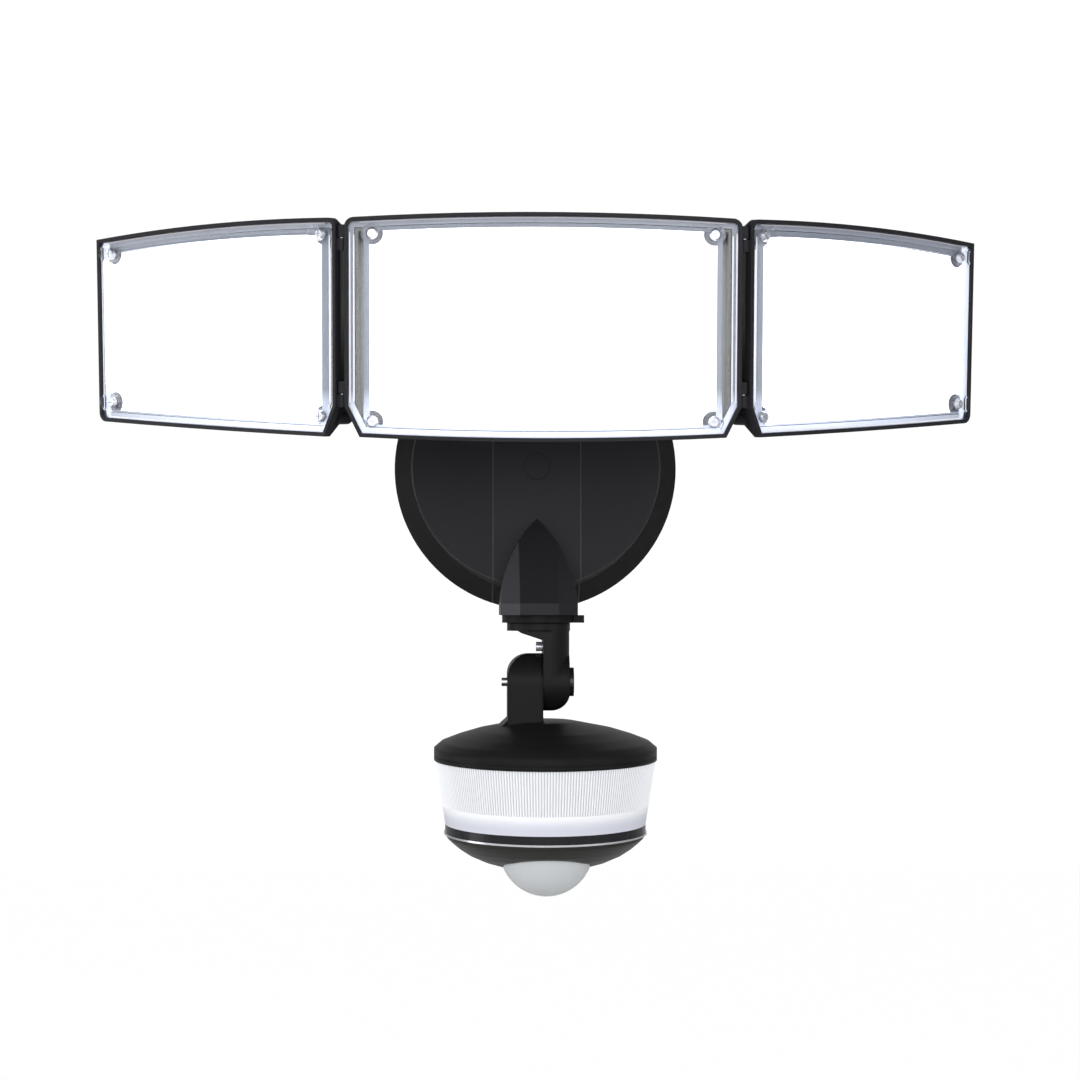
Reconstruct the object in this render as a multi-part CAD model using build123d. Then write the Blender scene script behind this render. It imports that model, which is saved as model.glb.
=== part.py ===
from build123d import *
import math
import os

# Three-head outdoor security light with a swivelling motion sensor, for a round junction box.
# Millimetres. X right, Y into the wall, Z up; the origin is the canopy's centre on the wall.

# ---- canopy ----
canopy_r = 62.5            # outer radius of the canopy, covers a 4 inch box
canopy_rim = 9.0           # straight rim, measured from the wall
canopy_crease_r = 54.5     # where the bevel meets the faces
canopy_crease = 20.0       # distance of that crease from the wall
canopy_face = 33.0         # distance of the flat centre band from the wall
canopy_band = 19.1         # half width of the centre band
canopy_wall = 2.6
canopy_draft = 2.0         # how far the end wall leans in between crease and face
gasket_t = 2.0             # wall gasket thickness
gasket_w = 5.0             # wall gasket width
strap_w = 18.0
strap_t = 2.0
slot_spacing = 79.4        # between the two slots' centres
slot_len = 14.0
slot_w = 4.5
strap_end = 3.5            # metal left past each slot
post_r = 7.0               # centre post of the canopy
screw_r = 2.5              # canopy screw
screw_head_r = 4.5
screw_head_h = 3.2
plug_r = 5.6
plug_t = 1.6
fit = 0.1                  # radial clearance of screws and pins
driver_size = (36.0, 22.0, 17.0)
driver_z = 19.5            # driver's centre above the canopy's centre
terminal_size = (24.0, 10.0, 11.0)
terminal_z = -15.0

# ---- sensor boss under the canopy ----
boss_apex = -23.0          # height of the pointed top
boss_bottom = -64.7        # underside that the sensor hangs from
boss_half = 16.3           # half width at the underside
boss_front = 76.5          # reach from the wall at the underside
boss_flat = 8.0            # half width of the front facet
boss_facet = 8.5           # set-back of the side facets
boss_foot = 5.0            # height of the upright foot
boss_back = 14.0           # where the boss starts inside the canopy
boss_wall = 3.0
boss_floor = 4.0

# ---- sensor swivel and knuckle ----
swivel_y = -58.0
spigot_r = 7.0
spigot_bore = 3.5
flange_r = 15.5
flange_t = 3.2
lug_x = 19.2               # reach of the collar's stop lug
lug_w = 9.0
ring_r = 13.4
ring_t = 3.4
nut_r = 10.0
nut_t = 3.0
pivot_z = -93.0
knuckle_r = 12.2
mate_x = 1.7               # plane where stem and neck meet
stem_w = 11.2
neck_w = 15.0
pivot_r = 3.0
stem_elbow = 8.0           # rounded outer corner under the stem
neck_elbow = 9.5           # rounded outer corner over the neck
neck_flare = 3.0           # how far the neck spreads where it meets the cap
cap_disc_r = 6.1
cap_disc_t = 2.0
nut_tip_r = 1.8
nut_tip_t = 2.4
lock_r = 2.0
lock_z = -78.0
lock_out = 2.8

# ---- sensor drum ----
drum_x = 2.9
drum_y = -61.0
drum_tilt = 3.0            # the drum leans this much at rest
cap_top = -109.0
cap_edge = -120.5
cap_r = 47.2
cap_bottom = -125.5
cap_wall = 2.2
cap_groove = (0.5, 0.5)    # depth and height of the line above the cap's lower edge
cap_lip = 1.6              # height of the lip under that line
band_bottom = -152.5
band_r = 42.5
band_top_r = 46.6
band_wall = 2.4
rib_count = 240
rib_depth = 0.4
rib_plain = 8.0            # plain collar left under the ribs
oring_r = 0.9
dark_t = 3.5
trim_t = 0.8
trim_out = 0.5
core_r = 33.0
core_wall = 2.0
strip_t = 1.0
strip_h = 10.0
strip_z = -138.0
night_led = (1.0, 3.0, 3.0)
night_count = 16
bowl_r = 42.3
bowl_bottom = -171.0
bowl_flat = 17.4
bowl_wall = 2.2
dome_r = 18.8
dome_h = 14.0
dome_wall = 1.2
dome_skirt = 2.0
dome_forward = 17.0
dome_z = -166.8
dome_lean = 22.0
board_r = 25.0
board_t = 1.6
board_z = -155.0
pir_r = 4.6
pir_h = 3.6
photocell_r = 2.5
dial_r = 3.6
dial_h = 2.4
dial_gap = 0.3
dial_shaft_r = 1.5
dial_ring = 12.4           # distance of the dials from the drum's axis
dial_angles = {"range_dial": 140.0, "time_dial": 90.0, "dusk_dial": 40.0}
dial_slot = 0.9

# ---- heads (local frame: x along the head, y back from the front plane, z up) ----
bar_y = -130.0             # front plane of the centre head
bar_z = 49.4
bar_tilt = 5.5             # the three heads face down this much at rest
head_half = 79.2           # half length of the centre head
corner_z = 43.7            # height of the top corners
crown_z = 46.2             # arched top at the middle
sole_z = -43.2             # bottom corners
belly_z = -45.1            # arched bottom at the middle
chamfer_z = -31.0          # where the bottom corner's chamfer starts
chamfer_x = 6.0
side_len = 140.5           # length of a side head, from the hinge axis
side_end_top = 38.6
side_end_bottom = -39.2
side_mid_top = 43.5
side_mid_bottom = -41.8
corner_r = 4.0
swing_gap = 0.9            # each head's end to the hinge axis
hinge_y = 3.2
side_yaw = 40.0            # the side heads are turned back this much at rest
rim_w = 1.6                # black rim in front
lip = 3.2                  # straight lip before the housing's taper
head_taper = 28.0
head_back = 18.5
head_floor = 2.5
ledge_y = 3.6
ledge_w = 2.4
gasket_h = 1.0
lens_t = 1.6
lens_gap = 0.3
lens_border = 4.4          # from the outline to the raised window
lens_rise = 4.1
lens_draft = 36.0
reflector_t = 1.2
led_size = (3.5, 0.8, 2.8)
led_rows = 4
led_pitch = (13.0, 15.0)
head_screw_r = 1.5
head_screw_head = (2.5, 1.6)
post_size = 3.6
post_clear = 0.4
post_in = 11.0             # posts of the centre head, in from its ends
post_down = 6.2            # posts down from the top edge
post_up = 8.2              # posts up from the bottom edge of a side head
side_in = 8.5              # outer posts of a side head, in from its end
diffuser_t = 0.8
diffuser_inset = 5.0       # from the outline to the milky sheet
diffuser_end = 9.9         # the sheet's ends next to the hinges
led_margin = 15.0          # first LEDs from a head's ends
fin_margin = 20.0          # first fins from a head's ends
fin_t = 2.0
fin_pitch = 10.0
fin_h = 6.0
fin_top = 27.0
ear_r = 1.9
pin_r = 1.0
ear_h = 5.0
ear_gap = 0.35
pin_fit = 0.06
hinge_top = 7.7            # upper hinge below the top corner
hinge_bottom = 5.0         # lower hinge above the chamfer

# ---- head tilt joint ----
arm_r = 11.0
arm_w = 10.0
arm_in = 24.5              # arm's seat, in from the canopy's upper edge
tilt_out = 55.0            # tilt axis in front of the canopy's face
tilt_up = 6.0              # tilt axis above the arm's seat
arm_pad_r = 14.0
arm_pad_t = 4.0
lug_pad = (40.0, 30.0, 3.0)
bolt_r = 3.0
bolt_head = (5.6, 4.0)
tilt_nut = (5.6, 5.0)
washer = (7.0, 1.2)

OUT = Location((0, 0, 0), (90, 0, 0))   # sketch plane seen from the front, +z out of the wall

# ---- places that follow from the sizes ----
arm_z = canopy_r - arm_in
tilt_y = -canopy_face - tilt_out
tilt_z = arm_z + tilt_up
hinge_levels = (corner_z - hinge_top, chamfer_z + hinge_bottom)
post_x = head_half - post_in
center_posts = [(-post_x, corner_z - post_down), (post_x, corner_z - post_down),
                (post_x, sole_z + post_down), (-post_x, sole_z + post_down)]
side_posts = [(swing_gap + side_in, corner_z - post_down), (side_len - side_in, side_end_top - post_down),
              (side_len - side_in, side_end_bottom + post_up), (swing_gap + side_in, sole_z + post_up)]


def tube(radius, start, end, bore=0.0):
    """Upright cylinder from z=start to z=end, with an optional bore."""
    low, high = min(start, end), max(start, end)
    solid = Cylinder(radius, high - low, align=(Align.CENTER, Align.CENTER, Align.MIN))
    if bore:
        solid -= Cylinder(bore, high - low, align=(Align.CENTER, Align.CENTER, Align.MIN))
    return Pos(0, 0, low) * solid


def rod_x(radius, start, end):
    """Cylinder along X from x=start to x=end."""
    return Rot(0, 90, 0) * tube(radius, start, end)


def rod_y(radius, start, end):
    """Cylinder along Y from y=start to y=end."""
    return Rot(-90, 0, 0) * tube(radius, start, end)


def block(x0, x1, y0, y1, z0, z1):
    """Box between two corners."""
    return Pos(x0, y0, z0) * Box(x1 - x0, y1 - y0, z1 - z0, align=(Align.MIN,) * 3)


def turned(points):
    """Solid of revolution about Z from (radius, z) points."""
    face = Plane.XZ * make_face(Polyline(*points, close=True))
    return revolve(face, Axis.Z)


# ---------------------------------------------------------------- canopy

def canopy_body(inset):
    """Round bevelled body with two faces that slope off a flat band, shrunk by inset."""
    back = gasket_t
    rim, crease, face = canopy_rim - inset / 2, canopy_crease - inset * 0.6, canopy_face + 1.0
    end_r = canopy_crease_r - canopy_draft - inset
    round_body = turned([(0, back), (canopy_r - inset, back), (canopy_r - inset, rim),
                         (canopy_crease_r - inset, crease), (end_r, face), (0, face)])
    slope = (canopy_face - canopy_crease) / (canopy_crease_r - canopy_band)
    edge_z = canopy_face - slope * (canopy_r - canopy_band) - inset
    top = canopy_face - inset
    section = Polyline((-canopy_r, back), (canopy_r, back), (canopy_r, edge_z),
                       (canopy_band, top), (-canopy_band, top), (-canopy_r, edge_z), close=True)
    prism = extrude(Plane.XZ * make_face(section), canopy_r, both=True)
    return round_body & prism


def boss_body(inset, floor):
    """Pointed, facetted boss: an arch seen from the front, cut by a leaning facetted prism."""
    half, top = boss_half - inset, boss_apex - inset * 1.4
    mid = (half * 0.72, top - (top - floor) * 0.41)
    arch = [ThreePointArc((half, floor + boss_foot), mid, (0, top)),
            ThreePointArc((0, top), (-mid[0], mid[1]), (-half, floor + boss_foot)),
            Polyline((-half, floor + boss_foot), (-half, floor), (half, floor),
                     (half, floor + boss_foot))]
    back = boss_back if inset == 0 else gasket_t
    front = Pos(0, 0, back) * extrude(make_face(arch), boss_front - back)
    run = canopy_face - boss_front
    rise = boss_apex - boss_bottom - boss_foot
    reach, knee = boss_front - inset, boss_front - boss_facet - inset
    wide = boss_half - inset + 0.5
    flat = boss_flat - inset * 0.4
    section = make_face(Polyline((-wide, back), (-wide, knee), (-flat, reach), (flat, reach),
                                 (wide, knee), (wide, back), close=True))
    upright = Location((0, boss_bottom, 0), (90, 0, 0)) * section
    foot = extrude(upright, boss_foot, dir=(0, 1, 0))
    ramp_face = Pos(0, boss_foot, 0) * upright
    length = math.hypot(run, rise) * 1.4
    ramp = extrude(ramp_face, length, dir=Vector(0, rise, run).normalized())
    back_fill = Pos(0, 0, back) * Box(2 * wide, 2 * canopy_r, canopy_face - back,
                                      align=(Align.CENTER, Align.CENTER, Align.MIN))
    return front & (foot + ramp + (back_fill & front))


def canopy_housing():
    """Canopy shell with its centre post, sensor boss and the head arm's bolt holes."""
    shell = canopy_body(0) + boss_body(0, boss_bottom)
    shell -= canopy_body(canopy_wall)
    hollow = boss_body(boss_wall, boss_bottom + boss_floor)
    shell -= hollow & block(-canopy_r, canopy_r, boss_bottom, canopy_r, canopy_crease, boss_front)
    shell += tube(post_r, gasket_t + strap_t, canopy_face - plug_t)
    shell -= tube(screw_r + fit, 0, canopy_face)
    shell -= tube(screw_head_r + fit, canopy_face - plug_t - screw_head_h, canopy_face)
    shell -= tube(plug_r, canopy_face - plug_t, canopy_face + 1)
    shell -= Pos(0, arm_z, 0) * tube(bolt_r + fit, canopy_face - canopy_wall - 2, canopy_face + 1)
    bored = OUT * shell
    bored -= Pos(0, swivel_y, 0) * tube(spigot_r + fit / 2, boss_bottom - 1, boss_bottom + boss_floor + 1)
    return bored


def wall_gasket():
    """Foam ring that seals the canopy to the wall."""
    return OUT * tube(canopy_r, 0, gasket_t, canopy_r - gasket_w)


def mounting_strap():
    """Slotted steel strap that is screwed across the junction box."""
    half = slot_spacing / 2 + slot_len / 2 + strap_end
    strap = block(-half, half, -strap_w / 2, strap_w / 2, 0, strap_t)
    strap = fillet(strap.edges().filter_by(Axis.Z), strap_end)
    slot = extrude(SlotOverall(slot_len, slot_w), strap_t)
    for side in (-1, 1):
        strap -= Pos(side * slot_spacing / 2, 0, 0) * slot
    strap += tube(screw_r + 2.0, strap_t, strap_t + 2.0)
    strap -= tube(screw_r, 0, strap_t + 2.0)
    return OUT * strap


def canopy_screw():
    """Centre screw that pulls the canopy on to the strap."""
    seat = canopy_face - plug_t - screw_head_h
    return OUT * (tube(screw_r, 0, seat) + tube(screw_head_r, seat, canopy_face - plug_t - 0.4))


def canopy_plug():
    """Rubber plug that covers the centre screw."""
    return OUT * tube(plug_r, canopy_face - plug_t, canopy_face)


def inside_box(size, height):
    """Sealed module on the inner side of the canopy's face."""
    wide, tall, deep = size
    top = canopy_face - canopy_wall
    return OUT * block(-wide / 2, wide / 2, height - tall / 2, height + tall / 2, top - deep, top)


# ---------------------------------------------------------------- head arm

def side_plate(points, x0, x1):
    """Plate with a (y, z) outline, from x0 to x1."""
    face = Plane.YZ * make_face(Polyline(*points, close=True))
    return Pos(x0, 0, 0) * extrude(face, x1 - x0)


def head_arm():
    """Arm from the canopy's face to the tilt joint behind the centre head."""
    pad = OUT * (Pos(0, arm_z, 0) * tube(arm_pad_r, canopy_face, canopy_face + arm_pad_t))
    root = -(canopy_face + arm_pad_t)
    neck = side_plate([(root, arm_z - arm_r), (root, arm_z + arm_r), (root - 12, arm_z + arm_r * 0.8),
                       (root - 12, arm_z - arm_r * 0.8)], -arm_w, arm_w)
    reach = side_plate([(root - 8, arm_z - arm_r * 0.85), (root - 8, arm_z + arm_r * 0.85),
                        (tilt_y, tilt_z + arm_r), (tilt_y, tilt_z - arm_r)], -arm_w, 0)
    disc = Pos(0, tilt_y, tilt_z) * rod_x(arm_r, -arm_w, 0)
    arm = pad + neck + reach + disc
    arm -= Pos(0, tilt_y, tilt_z) * rod_x(bolt_r + fit, -arm_w - 1, 1)
    return arm - OUT * (Pos(0, arm_z, 0) * tube(bolt_r, canopy_face, canopy_face + arm_pad_t + 6))


def arm_screw():
    """Screw from inside the canopy that holds the head arm."""
    inner = canopy_face - canopy_wall
    screw = tube(bolt_head[0], inner - bolt_head[1], inner) + tube(bolt_r, inner, canopy_face + 9)
    return OUT * (Pos(0, arm_z, 0) * screw)


def hexagon(radius, x0, x1):
    """Hexagonal head or nut along X."""
    face = Plane.YZ * RegularPolygon(radius, 6)
    return Pos(x0, 0, 0) * extrude(face, x1 - x0)


def tilt_bolt():
    """Bolt of the head's tilt joint."""
    end = -arm_w - washer[1] - tilt_nut[1] - 1.5
    bolt = rod_x(bolt_r, end, arm_w + washer[1]) + hexagon(bolt_head[0], arm_w + washer[1],
                                                           arm_w + washer[1] + bolt_head[1])
    return Pos(0, tilt_y, tilt_z) * bolt


def tilt_washers():
    """The two washers of the tilt joint."""
    ring = rod_x(washer[0], 0, washer[1]) - rod_x(bolt_r + fit, 0, washer[1])
    place = Pos(0, tilt_y, tilt_z)
    return Compound([place * Pos(arm_w, 0, 0) * ring, place * Pos(-arm_w - washer[1], 0, 0) * ring])


def tilt_nut_piece():
    """Nut of the tilt joint."""
    inner = -arm_w - washer[1]
    nut = hexagon(tilt_nut[0], inner - tilt_nut[1], inner) - rod_x(bolt_r, inner - tilt_nut[1], inner)
    return Pos(0, tilt_y, tilt_z) * nut


# ---------------------------------------------------------------- heads

def center_outline():
    """Front outline of the centre head: arched top and bottom, chamfered lower corners."""
    low_x = head_half - chamfer_x
    edges = [ThreePointArc((-head_half, corner_z), (0, crown_z), (head_half, corner_z)),
             Polyline((head_half, corner_z), (head_half, chamfer_z), (low_x, sole_z)),
             ThreePointArc((low_x, sole_z), (0, belly_z), (-low_x, sole_z)),
             Polyline((-low_x, sole_z), (-head_half, chamfer_z), (-head_half, corner_z))]
    face = make_face(edges)
    top = [v for v in face.vertices() if v.Y > 0]
    return make_face(fillet(top, corner_r).faces()[0].outer_wire())


def side_outline():
    """Front outline of a side head, x outward from the hinge axis, with a sharp outer top corner."""
    inner, low_x = swing_gap, swing_gap + chamfer_x
    middle, end_low = side_len * 0.47, side_len - 1.0
    edges = [ThreePointArc((inner, corner_z), (middle, side_mid_top), (side_len, side_end_top)),
             Line((side_len, side_end_top), (end_low, side_end_bottom)),
             ThreePointArc((end_low, side_end_bottom), (middle, side_mid_bottom), (low_x, sole_z)),
             Polyline((low_x, sole_z), (inner, chamfer_z), (inner, corner_z))]
    face = make_face(edges)
    soft = [v for v in face.vertices()
            if (v.X < 2 * inner and v.Y > 0) or (v.X > middle and v.Y < 0)]
    return make_face(fillet(soft, corner_r).faces()[0].outer_wire())


def shrink(outline, amount):
    """Outline offset inwards."""
    return offset(outline, -amount, kind=Kind.INTERSECTION)


def back_from(face, start, end, taper=0.0):
    """Extrude a front outline back from y=start to y=end, narrowing by taper."""
    solid = extrude(face, end - start, taper=taper) if taper else extrude(face, end - start)
    return Pos(0, start, 0) * (Location((0, 0, 0), (-90, 0, 0)) * mirror(solid, about=Plane.XZ))


def posts(points, radius, start, end, bore=0.0):
    """Round posts or holes along Y at (x, z) points."""
    found = []
    for x, z in points:
        post = rod_y(radius, start, end)
        if bore:
            post -= rod_y(bore, start, end)
        found.append(Pos(x, 0, z) * post)
    return found


def fins(x0, x1, gap_half):
    """Upright cooling fins between x0 and x1, leaving out the middle of width 2*gap_half."""
    count = int((x1 - x0) / fin_pitch)
    first = (x0 + x1) / 2 - (count - 1) * fin_pitch / 2
    rows = [first + i * fin_pitch for i in range(count)]
    return [block(x - fin_t / 2, x + fin_t / 2, head_back, head_back + fin_h, -fin_top, fin_top)
            for x in rows if abs(x) > gap_half]


def ear(height, toward):
    """Hinge ear about the axis, reaching back to its own head in the direction toward."""
    reach = swing_gap + rim_w * 0.7
    disc = tube(ear_r, 0, ear_h)
    web = block(min(0, toward * reach), max(0, toward * reach), -ear_r, ear_r, 0, ear_h)
    return Pos(0, hinge_y, height) * (disc + web)


def ear_notch(height):
    """Room round a hinge ear in the neighbouring head."""
    return Pos(0, hinge_y, height - ear_gap) * tube(ear_r + ear_gap, 0, ear_h + 2 * ear_gap)


def head_housing(outline, screw_points, fin_range, fin_gap):
    """Tray with a front lip, tapered sides, screw posts and cooling fins."""
    floor_y = head_back - head_floor
    tray = back_from(outline, 0, lip) + back_from(outline, lip, head_back, head_taper)
    tray -= back_from(shrink(outline, rim_w), 0, ledge_y)
    tray -= back_from(shrink(outline, rim_w + ledge_w), ledge_y, floor_y, head_taper)
    for post in posts(screw_points, post_size, ledge_y, floor_y):
        tray += post
    for hole in posts(screw_points, head_screw_r + pin_fit, 0, floor_y - 1):
        tray -= hole
    for fin in fins(*fin_range, fin_gap):
        tray += fin
    return tray


def head_gasket(outline, screw_points):
    """Rubber gasket between the lens and the housing's ledge."""
    outer = shrink(outline, rim_w)
    ring = back_from(outer, ledge_y - gasket_h, ledge_y)
    ring -= back_from(shrink(outline, rim_w + ledge_w), ledge_y - gasket_h, ledge_y)
    for hole in posts(screw_points, head_screw_r + fit, ledge_y - gasket_h, ledge_y):
        ring -= hole
    return ring


def head_lens(outline, screw_points):
    """Clear cover: a flange on the gasket and a raised, bevelled window with screw bosses."""
    back = ledge_y - gasket_h
    front = back - lens_t
    flange = back_from(shrink(outline, rim_w + lens_gap), front, back)
    top = front - lens_rise
    window = Pos(0, 2 * front, 0) * mirror(
        back_from(shrink(outline, lens_border), front, front + lens_rise, lens_draft), about=Plane.XZ)
    inner = Pos(0, 2 * back, 0) * mirror(
        back_from(shrink(outline, lens_border + lens_t), back, back + lens_rise, lens_draft),
        about=Plane.XZ)
    lens = flange + window - inner
    for boss in posts(screw_points, post_size, top, back):
        lens += boss
    for hole in posts(screw_points, head_screw_r + fit, top, back):
        lens -= hole
    for seat in posts(screw_points, head_screw_head[0] + fit, top, back - lens_t):
        lens -= seat
    return lens


def head_screws(screw_points):
    """The four lens screws."""
    seat = ledge_y - gasket_h - lens_t
    shank = posts(screw_points, head_screw_r, seat, head_back - head_floor - 1)
    heads = posts(screw_points, head_screw_head[0], seat - head_screw_head[1], seat)
    return Compound([a + b for a, b in zip(shank, heads)])


def head_reflector(outline, screw_points):
    """White reflector frame between the LED board and the lens."""
    floor_y = head_back - head_floor - board_t
    inset = rim_w + ledge_w + 0.3
    ring = back_from(shrink(outline, inset), ledge_y, floor_y, head_taper)
    ring -= back_from(shrink(outline, inset + reflector_t), ledge_y, floor_y, head_taper)
    for hole in posts(screw_points, post_size + post_clear, 0, floor_y):
        ring -= hole
    return ring


def head_diffuser(outline, screw_points, x0, x1):
    """Milky sheet on the reflector's front edge, from x0 to x1, notched round the screw posts."""
    sheet = back_from(shrink(outline, diffuser_inset), ledge_y - diffuser_t, ledge_y)
    sheet &= block(x0, x1, 0, head_back, -crown_z, crown_z)
    for hole in posts(screw_points, post_size + post_clear, 0, ledge_y):
        sheet -= hole
    return sheet.solids().sort_by(SortBy.VOLUME)[-1]     # without the slivers outside the posts


def head_board(outline, screw_points):
    """LED board on the floor of the housing."""
    floor_y = head_back - head_floor
    narrow = (floor_y - ledge_y) * math.tan(math.radians(head_taper))
    board = back_from(shrink(outline, rim_w + ledge_w + narrow + 0.6), floor_y - board_t, floor_y)
    for hole in posts(screw_points, post_size + post_clear, 0, floor_y):
        board -= hole
    return board


def head_leds(x0, x1):
    """Grid of surface-mounted LEDs on the board."""
    y1 = head_back - head_floor - board_t
    columns = int((x1 - x0) / led_pitch[0])
    first = (x0 + x1) / 2 - (columns - 1) * led_pitch[0] / 2
    chips = []
    for i in range(columns):
        for j in range(led_rows):
            x = first + i * led_pitch[0]
            z = (j - (led_rows - 1) / 2) * led_pitch[1]
            chips.append(block(x - led_size[0] / 2, x + led_size[0] / 2, y1 - led_size[1], y1,
                               z - led_size[2] / 2, z + led_size[2] / 2))
    return Compound(chips)


def hinge_pins():
    """Upper and lower hinge pin of one side head, on the hinge axis."""
    return Compound([Pos(0, hinge_y, level - ear_h - ear_gap) * tube(pin_r, 0, 2 * ear_h + ear_gap)
                     for level in hinge_levels])


def center_place():
    """Where the centre head's front plane sits."""
    return Location((0, bar_y, bar_z), (bar_tilt, 0, 0))


def side_place(side):
    """Where a side head sits at rest; its own x runs outward, so the left one is mirrored first."""
    hinge_x = side * (head_half + swing_gap)
    return (center_place() * Location((hinge_x, hinge_y, 0)) * Location((0, 0, 0), (0, 0, side * side_yaw))
            * Location((0, -hinge_y, 0)))


def tilt_lug():
    """Lug bolted to the centre head's back, half of the tilt joint."""
    c, s = math.cos(math.radians(bar_tilt)), math.sin(math.radians(bar_tilt))
    dy, dz = tilt_y - bar_y, tilt_z - bar_z
    py, pz = dy * c + dz * s, -dy * s + dz * c
    wide, tall, thick = lug_pad
    pad = block(-wide / 2, wide / 2, head_back, head_back + thick, pz - tall / 2, pz + tall / 2)
    root = head_back + thick
    web = side_plate([(root, pz - tall * 0.4), (root, pz + tall * 0.4), (py, pz + arm_r),
                      (py, pz - arm_r)], 0, arm_w)
    lug = pad + web + Pos(0, py, pz) * rod_x(arm_r, 0, arm_w)
    return lug - Pos(0, py, pz) * rod_x(bolt_r + fit, -1, arm_w + 1)


def center_housing():
    """Centre head's housing with its halves of both hinges."""
    edge = head_half - fin_margin
    tray = head_housing(center_outline(), center_posts, (-edge, edge), lug_pad[0] / 2 + fin_t)
    for side in (-1, 1):
        axis_x = side * (head_half + swing_gap)
        for level in hinge_levels:
            tray -= Pos(axis_x, 0, 0) * ear_notch(level - ear_h - ear_gap)
        for level in hinge_levels:
            tray += Pos(axis_x, 0, 0) * ear(level, -side)
            tray -= Pos(axis_x, hinge_y, level - 0.1) * tube(pin_r, 0, ear_h + 0.2)
    return tray


def side_housing():
    """Side head's housing with its halves of the hinge."""
    tray = head_housing(side_outline(), side_posts, (fin_margin, side_len - fin_margin), -1)
    for level in hinge_levels:
        tray -= ear_notch(level)
    for level in hinge_levels:
        tray += ear(level - ear_h - ear_gap, 1)
        tray -= Pos(0, hinge_y, level - ear_h - ear_gap - 0.1) * tube(pin_r + pin_fit, 0, ear_h + 0.2)
    return tray


def center_head():
    """Pieces of the centre head in its own frame."""
    outline, points = center_outline(), center_posts
    return {"center_housing": center_housing(), "center_gasket": head_gasket(outline, points),
            "center_lens": head_lens(outline, points), "center_screws": head_screws(points),
            "center_reflector": head_reflector(outline, points),
            "center_diffuser": head_diffuser(outline, points, diffuser_end - head_half,
                                             head_half - diffuser_end),
            "center_board": head_board(outline, points),
            "center_leds": head_leds(led_margin - head_half, head_half - led_margin),
            "tilt_lug": tilt_lug()}


def side_head():
    """Pieces of a side head in its own frame, x outward."""
    outline, points = side_outline(), side_posts
    return {"housing": side_housing(), "gasket": head_gasket(outline, points),
            "lens": head_lens(outline, points), "screws": head_screws(points),
            "reflector": head_reflector(outline, points), "board": head_board(outline, points),
            "diffuser": head_diffuser(outline, points, swing_gap + diffuser_end, side_len),
            "leds": head_leds(led_margin, side_len - led_margin)}


# ---------------------------------------------------------------- sensor swivel and knuckle

def swivel_collar():
    """Collar flange with its stop lug and the spigot that turns in the boss."""
    low = boss_bottom - flange_t
    collar = tube(flange_r, low, boss_bottom)
    collar += block(0, lug_x, -lug_w / 2, lug_w / 2, low, boss_bottom)
    collar += tube(spigot_r, boss_bottom, boss_bottom + boss_floor + nut_t + 1)
    collar -= tube(spigot_bore, low, boss_bottom + boss_floor + nut_t + 1)
    return Pos(0, swivel_y, 0) * collar


def swivel_nut():
    """Nut inside the boss that keeps the collar up."""
    low = boss_bottom + boss_floor
    nut = extrude(Pos(0, 0, low) * RegularPolygon(nut_r, 6), nut_t) - tube(spigot_r, low, low + nut_t)
    return Pos(0, swivel_y, 0) * nut


def elbow(x0, x1, z0, z1, corner, radius):
    """Prism along Y with a rectangular front view whose given corner is rounded."""
    face = make_face(Polyline((x0, z0), (x1, z0), (x1, z1), (x0, z1), close=True))
    picked = [v for v in face.vertices() if math.dist((v.X, v.Y), corner) < 0.01]
    return extrude(Plane.XZ * fillet(picked, radius), knuckle_r, both=True)


def sensor_stem():
    """Stem: a ring under the collar that steps over to the right-hand knuckle disc."""
    top = boss_bottom - flange_t
    low = top - ring_t
    right = mate_x + stem_w
    bottom = pivot_z - knuckle_r
    stem = tube(ring_r, low, top)
    front = Plane.XZ * make_face(Polyline((-ring_r * 0.8, low + 1), (right, low + 1), (right, pivot_z),
                                          (mate_x, pivot_z), (mate_x, low - 4), (-ring_r * 0.55, low - 1),
                                          close=True))
    stem += extrude(front, knuckle_r, both=True) & tube(ring_r, pivot_z - 1, top)
    disc = Pos(0, 0, pivot_z) * rod_x(knuckle_r, mate_x, right)
    stem += disc & elbow(mate_x, right, bottom, top, (right, bottom), stem_elbow)
    stem -= Pos(0, 0, pivot_z) * rod_x(pivot_r + fit / 2, mate_x - 1, right + 1)
    stem -= Pos(0, 0, lock_z) * rod_x(lock_r, mate_x - 1, mate_x + 5)
    stem -= tube(spigot_bore, low - 2, top)
    return Pos(0, swivel_y, 0) * stem


def knuckle_bolt():
    """Pivot bolt with its round cap on the right and its tip on the left."""
    right = mate_x + stem_w
    left = mate_x - neck_w
    bolt = rod_x(pivot_r, left + 2, right) + rod_x(cap_disc_r, right, right + cap_disc_t)
    bolt += rod_x(nut_tip_r, left - nut_tip_t, left + 2)
    return Pos(0, swivel_y, pivot_z) * bolt


def lock_screw():
    """Small screw that locks the sensor's swivel."""
    return Pos(0, swivel_y, lock_z) * rod_x(lock_r, mate_x - lock_out, mate_x + 5)


# ---------------------------------------------------------------- sensor drum

def drum_place():
    """Lean of the drum at rest about the knuckle's pivot."""
    pivot = Location((0, swivel_y, pivot_z))
    return pivot * Location((0, 0, 0), (drum_tilt, 0, 0)) * pivot.inverse()


def drum(solid):
    """Put a solid that was made on the Z axis on the drum's axis."""
    return Pos(drum_x, drum_y, 0) * solid


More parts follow.
